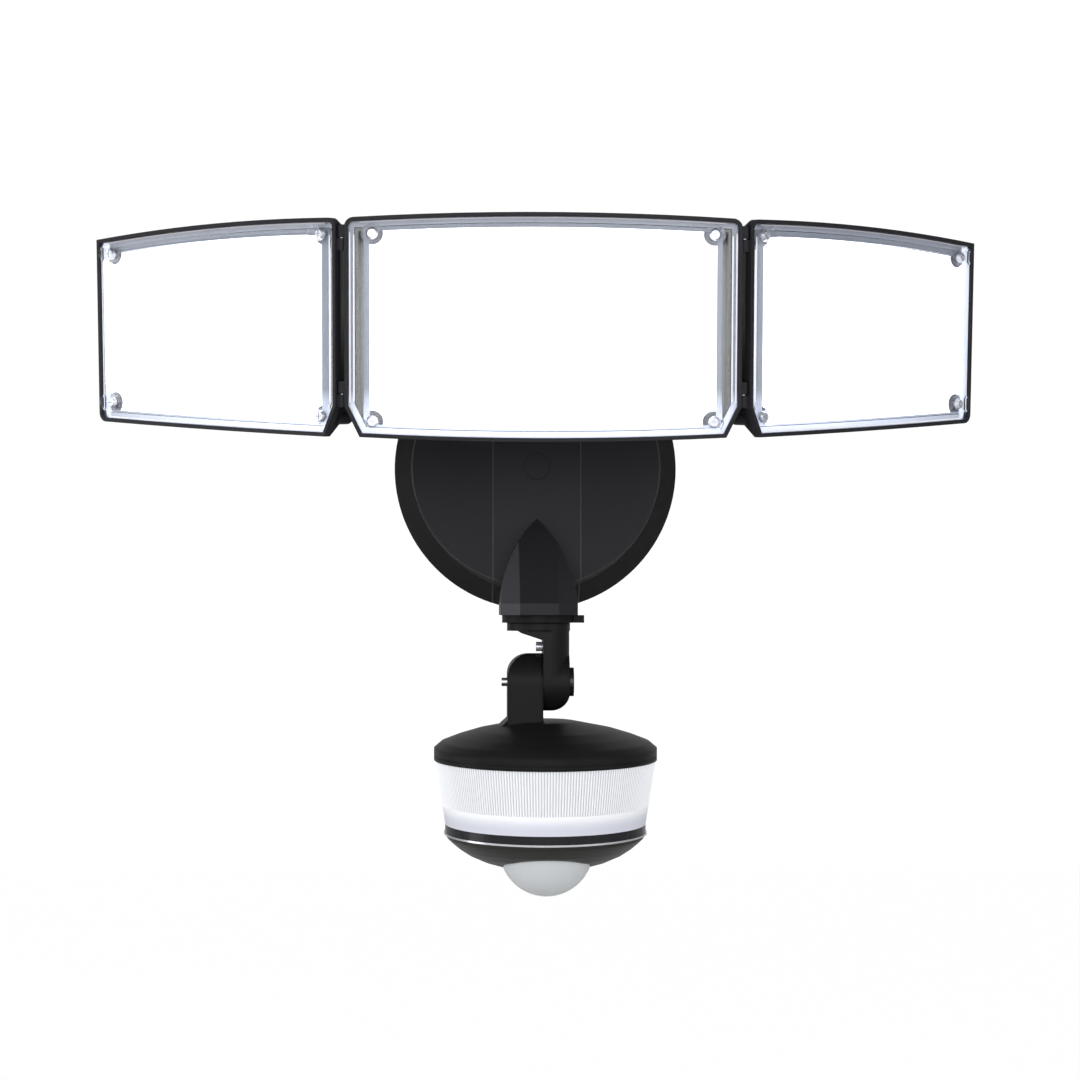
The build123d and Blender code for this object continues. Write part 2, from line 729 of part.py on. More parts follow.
def sensor_neck():
    """Left-hand knuckle disc that drops into the drum's cap."""
    left, top = mate_x - neck_w, pivot_z + knuckle_r
    neck = Pos(0, 0, pivot_z) * rod_x(knuckle_r, left, mate_x)
    neck += block(left, mate_x, -knuckle_r, knuckle_r, cap_top - 4, pivot_z)
    neck &= elbow(left, mate_x, cap_top - 4, top, (left, top), neck_elbow)
    foot = Rectangle(neck_w + 2 * neck_flare, 2 * (knuckle_r + neck_flare) * 0.8)
    flare = extrude(foot, neck_flare + 2, taper=45)
    neck += Pos((left + mate_x) / 2, 0, cap_top - 2.5) * flare
    neck -= Pos(0, 0, pivot_z) * rod_x(pivot_r + fit / 2, left + 2, mate_x + 1)
    neck -= Pos(0, 0, pivot_z) * rod_x(nut_tip_r + fit, left - 1, left + 3)
    return Pos(0, swivel_y, 0) * neck


def cap_profile(shrunk):
    """Half section of the drum's cap."""
    top, edge = cap_top - shrunk, cap_edge - shrunk
    r = cap_r - shrunk
    return [(0, top), (r * 0.27, top - 0.4), (r * 0.62, top - 3.8), (r * 0.8, top - 6.4),
            (r * 0.935, top - 8.9), (r, edge), (r, cap_bottom), (0, cap_bottom)]


def sensor_cap():
    """Domed cap with the neck on top and a fine line above its lip."""
    deep, high = cap_groove
    line = cap_bottom + cap_lip
    groove = tube(cap_r + 1, line, line + high, cap_r - deep)
    cap = drum(turned(cap_profile(0)) - groove) + sensor_neck()
    return cap - drum(turned(cap_profile(cap_wall)))


def night_core():
    """White inner drum that backs the night-light ring."""
    top = cap_top - cap_wall - 5
    return drum(tube(core_r, band_bottom - dark_t - trim_t, top, core_r - core_wall)
                & turned(cap_profile(cap_wall)[:6] + [(cap_r - cap_wall, bowl_bottom), (0, bowl_bottom)]))


def rib_wire(radius, height):
    """Closed zigzag of rib_count ribs round the Z axis."""
    step = math.pi / rib_count
    points = [((radius - rib_depth * (i % 2)) * math.cos(i * step),
               (radius - rib_depth * (i % 2)) * math.sin(i * step), height) for i in range(2 * rib_count)]
    return Polyline(*points, close=True)


def night_ring():
    """Frosted ring that tapers down to the bowl, with fine upright ribs over a plain collar."""
    ribs_low = band_bottom + rib_plain
    slope = (band_top_r - band_r) / (cap_bottom - band_bottom)
    middle_r = band_r + slope * rib_plain
    ribbed = Solid.make_loft([Wire(rib_wire(middle_r, ribs_low).edges()),
                              Wire(rib_wire(band_top_r, cap_bottom).edges())], ruled=True)
    plain = turned([(0, ribs_low), (middle_r, ribs_low), (band_r, band_bottom), (0, band_bottom)])
    bore = turned([(0, cap_bottom), (band_top_r - band_wall, cap_bottom),
                   (band_r - band_wall, band_bottom), (0, band_bottom)])
    return drum((ribbed - bore) + (plain - bore))


def cap_oring():
    """Seal between the cap and the frosted ring."""
    ring = band_top_r - band_wall - oring_r
    return drum(Pos(0, 0, cap_bottom + oring_r) * Torus(ring, oring_r))


def dark_ring():
    """Black clamping ring under the frosted ring."""
    return drum(tube(band_r, band_bottom - dark_t, band_bottom, core_r))


def trim_ring():
    """Thin bright ring between the clamping ring and the bowl."""
    top = band_bottom - dark_t
    return drum(tube(band_r + trim_out, top - trim_t, top, core_r))


def night_strip():
    """LED strip wound round the core."""
    return drum(tube(core_r + strip_t, strip_z - strip_h / 2, strip_z + strip_h / 2, core_r))


def night_leds():
    """LEDs round the strip."""
    deep, wide, tall = night_led
    chip = block(core_r + strip_t, core_r + strip_t + deep, -wide / 2, wide / 2,
                 strip_z - tall / 2, strip_z + tall / 2)
    turns = [drum(Rot(0, 0, i * 360 / night_count) * chip) for i in range(night_count)]
    return Compound(turns)


def bowl_profile(shrunk):
    """Half section of the bowl."""
    top = band_bottom - dark_t - trim_t
    deep = bowl_bottom + shrunk
    r = bowl_r - shrunk
    return [(0, top), (r, top), (r * 0.985, top - 1.6), (r * 0.936, top - 3.6), (r * 0.868, top - 6.0),
            (r * 0.775, top - 8.6), (r * 0.635, top - 11.3 + shrunk * 0.5), (bowl_flat, deep), (0, deep)]


def dome_place():
    """Frame of the PIR dome: its z points into the bowl, leaning back."""
    return Location((0, -dome_forward, dome_z)) * Location((0, 0, 0), (-dome_lean, 0, 0))


def dial_place(angle):
    """Where a dial sits on the bowl's underside."""
    turn = math.radians(angle)
    return Location((dial_ring * math.cos(turn), dial_ring * math.sin(turn), bowl_bottom))


def sensor_bowl():
    """Bowl with the dome's bore and the three dial pockets."""
    bowl = turned(bowl_profile(0)) - turned(bowl_profile(bowl_wall))
    bowl += tube(core_r, band_bottom - dark_t - trim_t - 1.6, band_bottom - dark_t - trim_t,
                 board_r + 0.5) & turned(bowl_profile(0))
    bowl += tube(bowl_r - bowl_wall, band_bottom - dark_t - trim_t - 1.6,
                 band_bottom - dark_t - trim_t, core_r - 1) & turned(bowl_profile(0))
    base = bowl_bottom + bowl_wall
    for angle in dial_angles.values():
        place = dial_place(angle)
        bowl += place * tube(dial_r + dial_gap + 1.0, 0, dial_h + 1.6)
        bowl -= place * tube(dial_r + dial_gap, -1, dial_h)
        bowl -= place * tube(dial_shaft_r + pin_fit, 0, dial_h + 2)
    for turn in (90, 200, 340):
        angle = math.radians(turn)
        reach = board_r - 3
        bowl += Pos(reach * math.cos(angle), reach * math.sin(angle), 0) * tube(2, base, board_z - board_t)
    cone = dome_place() * tube(dome_r, -8, 12)
    return drum(bowl - cone)


def pir_dome():
    """Frosted dome with a skirt that sits in the bowl's bore."""
    ball = (dome_r ** 2 + dome_h ** 2) / (2 * dome_h)
    centre = ball - dome_h
    outer = (Pos(0, 0, centre) * Sphere(ball)) & tube(dome_r, -dome_h - 1, 0)
    outer += tube(dome_r, 0, dome_skirt)
    inner = (Pos(0, 0, centre) * Sphere(ball - dome_wall)) & tube(dome_r - dome_wall, -dome_h, 0)
    inner += tube(dome_r - dome_wall, 0, dome_skirt)
    return drum(dome_place() * (outer - inner))


def sensor_board():
    """Round sensor board on the bowl's posts."""
    board = tube(board_r, board_z - board_t, board_z)
    for angle in dial_angles.values():
        place = dial_place(angle)
        board -= Pos(place.position.X, place.position.Y, 0) * tube(dial_shaft_r + 0.3, board_z - 5, board_z + 1)
    return drum(board)


def pir_element():
    """Pyroelectric element over the dome."""
    low = board_z - board_t - pir_h
    return drum(Pos(0, -dome_forward + 3, 0) * (tube(pir_r, low, low + pir_h)))


def photocell():
    """Photocell that looks out through the dome."""
    low = board_z - board_t - 1.5
    return drum(Pos(pir_r + 5, -dome_forward + 3, 0) * tube(photocell_r, low, low + 1.5))


def dial(angle):
    """Slotted dial with its shaft."""
    knob = tube(dial_r, 0.2, dial_h - 0.2) + tube(dial_shaft_r, dial_h - 0.2, board_z - bowl_bottom)
    knob -= block(-dial_r, dial_r, -dial_slot / 2, dial_slot / 2, 0, 1.0)
    return drum(dial_place(angle) * knob)


def build():
    """All pieces by node name, in the light's own frame."""
    nodes = {
        "canopy_housing": canopy_housing(), "wall_gasket": wall_gasket(),
        "mounting_strap": mounting_strap(), "canopy_screw": canopy_screw(),
        "canopy_plug": canopy_plug(), "driver_module": inside_box(driver_size, driver_z),
        "terminal_block": inside_box(terminal_size, terminal_z), "head_arm": head_arm(),
        "arm_screw": arm_screw(), "tilt_bolt": tilt_bolt(), "tilt_washers": tilt_washers(),
        "tilt_nut": tilt_nut_piece(), "swivel_collar": swivel_collar(), "swivel_nut": swivel_nut(),
        "sensor_stem": sensor_stem(), "knuckle_bolt": knuckle_bolt(), "lock_screw": lock_screw(),
    }
    for name, solid in center_head().items():
        nodes[name] = center_place() * solid
    for name, solid in side_head().items():
        nodes["right_" + name] = side_place(1) * solid
        nodes["left_" + name] = side_place(-1) * mirror(solid, about=Plane.YZ)
    for side, name in ((-1, "left"), (1, "right")):
        axis_x = side * (head_half + swing_gap)
        nodes[name + "_hinge_pins"] = center_place() * Pos(axis_x, 0, 0) * hinge_pins()
    leaning = {
        "sensor_cap": sensor_cap(), "cap_oring": cap_oring(), "night_core": night_core(),
        "night_strip": night_strip(), "night_leds": night_leds(), "night_ring": night_ring(),
        "dark_ring": dark_ring(), "trim_ring": trim_ring(), "sensor_bowl": sensor_bowl(),
        "sensor_board": sensor_board(), "pir_element": pir_element(), "photocell": photocell(),
        "pir_dome": pir_dome(),
    }
    for name, angle in dial_angles.items():
        leaning[name] = dial(angle)
    for name, solid in leaning.items():
        nodes[name] = drum_place() * solid
    return nodes


os.makedirs("parts", exist_ok=True)
for node_name, node_solid in build().items():
    export_step(node_solid, "parts/" + node_name + ".step")
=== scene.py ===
import logging
import math
from dataclasses import dataclass, field
from enum import Enum
from functools import partial
from typing import Dict, List, Optional, Sequence, Tuple, Union

import bmesh
import bpy
from mathutils import Matrix, Vector


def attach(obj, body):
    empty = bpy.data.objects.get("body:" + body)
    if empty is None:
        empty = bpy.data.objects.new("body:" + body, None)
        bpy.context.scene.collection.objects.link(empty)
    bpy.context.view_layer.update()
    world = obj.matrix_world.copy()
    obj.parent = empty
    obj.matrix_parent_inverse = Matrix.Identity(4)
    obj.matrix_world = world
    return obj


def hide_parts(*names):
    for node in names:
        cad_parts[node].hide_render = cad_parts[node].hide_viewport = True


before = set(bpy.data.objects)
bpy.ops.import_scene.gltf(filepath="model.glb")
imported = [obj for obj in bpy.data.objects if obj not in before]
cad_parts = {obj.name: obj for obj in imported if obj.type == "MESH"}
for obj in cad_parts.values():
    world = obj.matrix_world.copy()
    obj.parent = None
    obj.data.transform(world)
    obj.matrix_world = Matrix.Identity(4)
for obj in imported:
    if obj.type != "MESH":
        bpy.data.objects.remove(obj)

LOG = logging.getLogger("security_light")
MM = 0.001
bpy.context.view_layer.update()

Colour = Tuple[float, float, float]
Pair = Tuple[float, float]
Line = Tuple[Pair, ...]
Strip = List[List[Tuple[float, float, float]]]
Socket = bpy.types.NodeSocket


class Side(Enum):
    """Which head is meant, seen from the front. The value is the sign of its x."""

    LEFT = -1
    CENTER = 0
    RIGHT = 1


class Texture(Enum):
    """How a moulded surface is broken up."""

    SPARK = "spark"
    SMOOTH = "smooth"


# ---------------- node helpers

def declare(tree: bpy.types.NodeTree, kind: str, *names: str, out: bool = False) -> None:
    """Add sockets to the inputs or outputs of a whole node tree.

    Args:
        tree: The tree.
        kind: The sockets' type, without NodeSocket before it.
        names: The sockets' names.
        out: True for outputs.
    """
    for name in names:
        tree.interface.new_socket(name=name, in_out="OUTPUT" if out else "INPUT",
                                  socket_type="NodeSocket" + kind)


@dataclass(frozen=True)
class Wiring:
    """Adds nodes to a node tree and links them."""

    tree: bpy.types.NodeTree

    def put(self, socket: Socket, value: object) -> None:
        """Give an input its value.

        Args:
            socket: The input.
            value: A socket to link, or a plain value or colour.
        """
        if isinstance(value, bpy.types.NodeSocket):
            self.tree.links.new(value, socket)
        elif socket.type == "RGBA":
            socket.default_value = (*value, 1.0)
        else:
            socket.default_value = value

    def fill(self, node: bpy.types.Node, inputs: Dict[object, object]) -> None:
        """Give several inputs of a node their values.

        Args:
            node: The node.
            inputs: Values or sockets by the input's name or number.
        """
        for name, value in inputs.items():
            self.put(node.inputs[name], value)

    def add(self, kind: str, inputs: Optional[Dict[object, object]] = None,
            **settings: object) -> bpy.types.Node:
        """Add a node.

        Args:
            kind: Its type.
            inputs: Values or sockets for its inputs.
            settings: Its own properties, which are set before its inputs.

        Returns:
            The node.
        """
        node = self.tree.nodes.new(kind)
        for name, value in settings.items():
            setattr(node, name, value)
        self.fill(node, inputs or {})
        return node

    def maths(self, operation: str, *values: object) -> Socket:
        """Add a maths node.

        Args:
            operation: What it does.
            values: Its values, sockets or numbers.

        Returns:
            The result's socket.
        """
        return self.add("ShaderNodeMath", dict(enumerate(values)), operation=operation).outputs["Value"]

    def ramp(self, value: Socket, start: float, end: float, low: object = 0.0, high: object = 1.0,
             kind: str = "LINEAR") -> Socket:
        """Map a value from one range to another and stop at its ends.

        Args:
            value: The value.
            start: Where the first range starts.
            end: Where it ends.
            low: Result at the start.
            high: Result at the end.
            kind: How it runs between them.

        Returns:
            The result's socket.
        """
        inputs = {"Value": value, "From Min": start, "From Max": end, "To Min": low, "To Max": high}
        return self.add("ShaderNodeMapRange", inputs, interpolation_type=kind).outputs["Result"]

    def mix(self, factor: Socket, first: object, second: object) -> Socket:
        """Blend two colours.

        Args:
            factor: Share of the second.
            first: One colour or its socket.
            second: The other.

        Returns:
            The result's socket.
        """
        inputs = {"Factor": factor, "A": first, "B": second}
        return self.add("ShaderNodeMix", inputs, data_type="RGBA").outputs["Result"]

    def place(self) -> Socket:
        """Socket with the place on the object, in metres."""
        return self.add("ShaderNodeTexCoord").outputs["Object"]

    def axes(self, place: Optional[Socket] = None) -> bpy.types.NodeOutputs:
        """Split a place into its coordinates.

        Args:
            place: Its socket, or none for the place on the object.

        Returns:
            Outputs named X, Y and Z.
        """
        return self.add("ShaderNodeSeparateXYZ", {"Vector": place or self.place()}).outputs

    def noise(self, place: Socket, scale: float, detail: float) -> Socket:
        """Clouded value between 0 and 1.

        Args:
            place: Where it is read.
            scale: Its fineness.
            detail: How many finer layers it has.

        Returns:
            The value's socket.
        """
        inputs = {"Vector": place, "Scale": scale, "Detail": detail}
        return self.add("ShaderNodeTexNoise", inputs).outputs["Fac"]

    def length(self, first: Socket, second: Socket) -> Socket:
        """Distance from the origin in a plane.

        Args:
            first: One coordinate.
            second: The other.

        Returns:
            The distance's socket.
        """
        flat = self.add("ShaderNodeCombineXYZ", {"X": first, "Y": second}).outputs["Vector"]
        return self.add("ShaderNodeVectorMath", {0: flat}, operation="LENGTH").outputs["Value"]


def new_material(name: str) -> Tuple[bpy.types.Material, Wiring, bpy.types.Node]:
    """Start a material.

    Args:
        name: Its name.

    Returns:
        The material, the wiring of its nodes and its shader.
    """
    mat = bpy.data.materials.new(name)
    mat.use_nodes = True
    return mat, Wiring(mat.node_tree), mat.node_tree.nodes["Principled BSDF"]


@dataclass
class NodeGroups:
    """Shader node groups that the finishes share, each built once."""

    grain_scale: float = 2600.0
    grain_detail: float = 2.0
    blotch_scale: float = 55.0
    blotch_detail: float = 4.0
    dust_scale: float = 24.0
    dust_detail: float = 6.0

    def __post_init__(self) -> None:
        """Build the groups."""
        self.grain = self._grain()
        self.wear = self._wear()

    def _grain(self) -> bpy.types.NodeTree:
        """Fine moulded grain.

        Returns:
            A group with a height and a roughness that vary over the surface.
        """
        tree = bpy.data.node_groups.new("moulded_grain", "ShaderNodeTree")
        declare(tree, "Float", "Rough Low", "Rough High")
        declare(tree, "Float", "Height", "Roughness", out=True)
        wires = Wiring(tree)
        given = wires.add("NodeGroupInput").outputs
        place = wires.place()
        blotches = wires.noise(place, self.blotch_scale, self.blotch_detail)
        rough = wires.ramp(blotches, 0.0, 1.0, given["Rough Low"], given["Rough High"])
        wires.add("NodeGroupOutput", {"Height": wires.noise(place, self.grain_scale, self.grain_detail),
                                      "Roughness": rough})
        return tree

    def _wear(self) -> bpy.types.NodeTree:
        """Slight dust and rubbed tone over a base colour.

        Returns:
            A group with a colour that varies over the surface.
        """
        tree = bpy.data.node_groups.new("dust_and_rub", "ShaderNodeTree")
        declare(tree, "Color", "Base", "Dust")
        declare(tree, "Float", "Amount")
        declare(tree, "Color", "Color", out=True)
        wires = Wiring(tree)
        given = wires.add("NodeGroupInput").outputs
        cloud = wires.noise(wires.place(), self.dust_scale, self.dust_detail)
        share = wires.maths("MULTIPLY", cloud, given["Amount"])
        wires.add("NodeGroupOutput", {"Color": wires.mix(share, given["Base"], given["Dust"])})
        return tree

    def roughen(self, wires: Wiring, shader: bpy.types.Node, rough: Pair) -> bpy.types.Node:
        """Vary a shader's roughness.

        Args:
            wires: The material's wiring.
            shader: Its shader.
            rough: Least and greatest roughness.

        Returns:
            The grain's node, which has the height too.
        """
        grain = wires.add("ShaderNodeGroup", {"Rough Low": rough[0], "Rough High": rough[1]},
                          node_tree=self.grain)
        wires.put(shader.inputs["Roughness"], grain.outputs["Roughness"])
        return grain


# ---------------- finishes

@dataclass(frozen=True)
class LitTone:
    """Bright at the bottom and the outer ends, where the lit sheet shines in. Millimetres."""

    colour: Colour
    glow: float
    low_z: float
    high_z: float
    end_x: float = 0.0
    end_fade: float = 0.8

    def build(self, wires: Wiring, shader: bpy.types.Node, base: Colour) -> Socket:
        """Add a colour and a glow that follow height and distance from the middle.

        Args:
            wires: The material's wiring.
            shader: Its shader.
            base: Its main colour.

        Returns:
            The colour's socket.
        """
        axes = wires.axes()
        share = wires.ramp(axes["Z"], self.low_z * MM, self.high_z * MM)
        if self.end_x:
            out = wires.maths("ABSOLUTE", axes["X"])
            inside = wires.ramp(out, (self.end_x + self.end_fade) * MM, self.end_x * MM)
            share = wires.maths("MULTIPLY", share, inside)
        wires.fill(shader, {"Emission Color": self.colour,
                            "Emission Strength": wires.ramp(share, 0.0, 1.0, self.glow, 0.0)})
        return wires.mix(share, self.colour, base)


@dataclass(frozen=True)
class TipTone:
    """Bare metal on the side of x that lies away from the middle. Millimetres."""

    colour: Colour
    x: float
    fade: float = 0.1

    def build(self, wires: Wiring, shader: bpy.types.Node, base: Colour) -> Socket:
        """Add the bare colour, and turn the shader to metal there.

        Args:
            wires: The material's wiring.
            shader: Its shader.
            base: Its main colour.

        Returns:
            The colour's socket.
        """
        end = self.x + math.copysign(self.fade, self.x)
        bare = wires.ramp(wires.axes()["X"], self.x * MM, end * MM)
        wires.put(shader.inputs["Metallic"], bare)
        return wires.mix(bare, base, self.colour)


@dataclass(frozen=True)
class CanopyPaintedLight:
    """Painted highlights on the lines between the faces, painted shade on the rim wall and painted light on
    the boss's left facet.

    Millimetres from the canopy's centre on the wall.
    """

    # Painted colours: edge is the highlight on the lines, wall the shade on the rim, facet the light on the
    # boss's left facet.
    edge: Colour = (0.056, 0.056, 0.061)
    wall: Colour = (0.004, 0.004, 0.0045)
    facet: Colour = (0.05, 0.05, 0.058)
    boss_half: float = 16.3
    boss_flat: float = 8.2
    boss_step: float = 4.0
    band_x: float = 19.1
    face: float = 33.0
    face_fall: float = 0.367
    crease: float = 20.0
    crease_r: float = 54.5
    wall_lean: float = 0.143
    line_half: float = 0.35

    def _line(self, wires: Wiring, value: Socket, at: float) -> Socket:
        """Mask that is 1 on a thin line.

        Args:
            wires: The material's wiring.
            value: The value in metres that tells where the line is.
            at: The value on the line, in millimetres.

        Returns:
            The mask's socket.
        """
        off = wires.maths("ABSOLUTE", wires.maths("SUBTRACT", value, at * MM))
        return wires.ramp(off, self.line_half * MM, self.line_half * MM / 2)

    def build(self, wires: Wiring, shader: bpy.types.Node, base: Colour) -> Socket:
        """Add the painted highlight lines and the painted shade and light between them.

        Args:
            wires: The material's wiring.
            shader: Its shader; not used.
            base: Its main colour.

        Returns:
            The colour's socket.
        """
        axes = wires.axes()
        across = wires.maths("ABSOLUTE", axes["X"])
        reach = wires.maths("MULTIPLY", axes["Y"], -1.0)
        past_band = wires.maths("MAXIMUM", wires.maths("SUBTRACT", across, self.band_x * MM), 0.0)
        level = wires.maths("ADD", reach, wires.maths("MULTIPLY", past_band, self.face_fall))
        lean = wires.maths("MULTIPLY", wires.maths("SUBTRACT", reach, self.crease * MM), self.wall_lean)
        upright = wires.maths("ADD", wires.length(axes["X"], axes["Z"]), lean)
        face_level = (self.face - 2 * self.line_half) * MM
        on_face = wires.maths("GREATER_THAN", level, face_level)
        outside = wires.maths("GREATER_THAN", upright, (self.crease_r - self.line_half) * MM)
        beside_boss = wires.maths("GREATER_THAN", across, (self.boss_half + self.line_half) * MM)
        on_boss = wires.maths("GREATER_THAN", level, (self.face + self.boss_step) * MM)
        left = wires.maths("LESS_THAN", axes["X"], -self.boss_flat * MM)
        # Painted highlight lines along the crease to the rim and along the band's edges.
        crease = wires.maths("MULTIPLY", self._line(wires, upright, self.crease_r), on_face)
        crease = wires.maths("MULTIPLY", crease, beside_boss)
        band = wires.maths("MULTIPLY", self._line(wires, across, self.band_x),
                          wires.maths("MAXIMUM", on_face, outside))
        # Painted shade on the rim wall below the face, then painted light on the boss's left facet.
        tone = wires.mix(wires.maths("LESS_THAN", level, face_level), base, self.wall)
        tone = wires.mix(wires.maths("MULTIPLY", left, on_boss), tone, self.facet)
        return wires.mix(wires.maths("MAXIMUM", band, crease), tone, self.edge)


Tone = Union[LitTone, TipTone, CanopyPaintedLight]


@dataclass(frozen=True)
class Finish:
    """An opaque moulded, rubber or metal finish."""

    name: str
    colour: Colour
    dust: Colour = (0.35, 0.35, 0.34)
    dust_amount: float = 0.02
    rough: Pair = (0.42, 0.55)
    bump: float = 0.08
    bump_mm: float = 0.2
    metallic: float = 0.0
    specular: float = 0.3
    glow: float = 0.0
    round_mm: float = 0.0
    round_samples: int = 6
    tone: Optional[Tone] = None
    texture: Texture = Texture.SPARK

    def build(self, groups: NodeGroups) -> bpy.types.Material:
        """Build the material.

        Args:
            groups: The shared node groups.

        Returns:
            The finished material.
        """
        mat, wires, shader = new_material(self.name)
        wires.fill(shader, {"Metallic": self.metallic, "Specular IOR Level": self.specular})
        if self.glow:
            wires.fill(shader, {"Emission Color": self.colour, "Emission Strength": self.glow})
        base = self.tone.build(wires, shader, self.colour) if self.tone else self.colour
        wear = wires.add("ShaderNodeGroup", {"Base": base, "Dust": self.dust, "Amount": self.dust_amount},
                         node_tree=groups.wear)
        wires.put(shader.inputs["Base Color"], wear.outputs["Color"])
        grain = groups.roughen(wires, shader, self.rough)
        if self.texture is Texture.SPARK:
            bump = wires.add("ShaderNodeBump", {"Strength": self.bump, "Distance": self.bump_mm * MM,
                                                "Height": grain.outputs["Height"]})
            wires.put(shader.inputs["Normal"], bump.outputs["Normal"])
            if self.round_mm:
                soft = wires.add("ShaderNodeBevel", {"Radius": self.round_mm * MM},
                                 samples=self.round_samples)
                wires.put(bump.inputs["Normal"], soft.outputs["Normal"])
        return mat


@dataclass(frozen=True)
class ClearFinish:
    """Clear moulded cover."""

    name: str
    colour: Colour = (0.98, 0.985, 1.0)
    ior: float = 1.02
    rough: Pair = (0.01, 0.05)
    shine: float = 0.4
    shine_rough: float = 0.05

    def build(self, groups: NodeGroups) -> bpy.types.Material:
        """Build the material.

        Args:
            groups: The shared node groups.

        Returns:
            The finished material.
        """
        mat, wires, shader = new_material(self.name)
        wires.fill(shader, {"Base Color": self.colour, "Transmission Weight": 1.0, "IOR": self.ior,
                            "Coat Weight": self.shine, "Coat Roughness": self.shine_rough})
        groups.roughen(wires, shader, self.rough)
        return mat


@dataclass(frozen=True)
class RibbedFinish:
    """Frosted ring with painted shade in its rib valleys and painted grey on its plain collar for the dark
    ring seen through it.

    Millimetres and degrees. Top and bottom are a radius and a height each.
    """

    name: str
    crest: Colour = (0.93, 0.94, 0.96)
    valley_shade: Colour = (0.42, 0.43, 0.46)
    collar: Colour = (0.62, 0.63, 0.7)
    rough: Pair = (0.28, 0.38)
    specular: float = 0.45
    glow: float = 0.2
    axis: Pair = (2.9, -61.0)
    pivot: Pair = (-58.0, -93.0)
    lean: float = 3.0
    top: Pair = (46.6, -125.5)
    bottom: Pair = (42.5, -152.5)
    depth: float = 0.4
    valley_from: float = 0.1
    valley_to: float = 1.1
    collar_start: float = -143.5
    collar_full: float = -150.5

    def _upright(self, wires: Wiring) -> bpy.types.NodeOutputs:
        """Coordinates on the ring's own axis, without its lean.

        Args:
            wires: The material's wiring.

        Returns:
            Outputs named X, Y and Z.
        """
        turn = math.radians(self.lean)
        pivot = Vector((0.0, *self.pivot))
        axis = Vector((*self.axis, 0.0)) - pivot
        shift = (-(Matrix.Rotation(-turn, 3, "X") @ pivot) - axis) * MM
        upright = wires.add("ShaderNodeMapping", {"Vector": wires.place(), "Rotation": (-turn, 0.0, 0.0),
                                                  "Location": shift})
        return wires.axes(upright.outputs["Vector"])

    def build(self, groups: NodeGroups) -> bpy.types.Material:
        """Build the material.

        Args:
            groups: The shared node groups.

        Returns:
            The finished material.
        """
        mat, wires, shader = new_material(self.name)
        axes = self._upright(wires)
        cone = wires.ramp(axes["Z"], self.bottom[1] * MM, self.top[1] * MM, self.bottom[0] * MM,
                          self.top[0] * MM)
        below = wires.maths("SUBTRACT", cone, wires.length(axes["X"], axes["Y"]))
        # Painted shade: the ring is darker down in the rib valleys.
        valley_shade = wires.ramp(below, self.valley_from * self.depth * MM, self.valley_to * self.depth * MM)
        # Painted grey on the plain collar, which stands in for the dark ring seen through the clear
        # plastic.
        fade = wires.ramp(axes["Z"], self.collar_start * MM, self.collar_full * MM, kind="SMOOTHSTEP")
        tone = wires.mix(fade, wires.mix(valley_shade, self.crest, self.valley_shade), self.collar)
        wires.fill(shader, {"Base Color": tone, "Emission Color": tone, "Emission Strength": self.glow,
                            "Specular IOR Level": self.specular})
        groups.roughen(wires, shader, self.rough)
        return mat


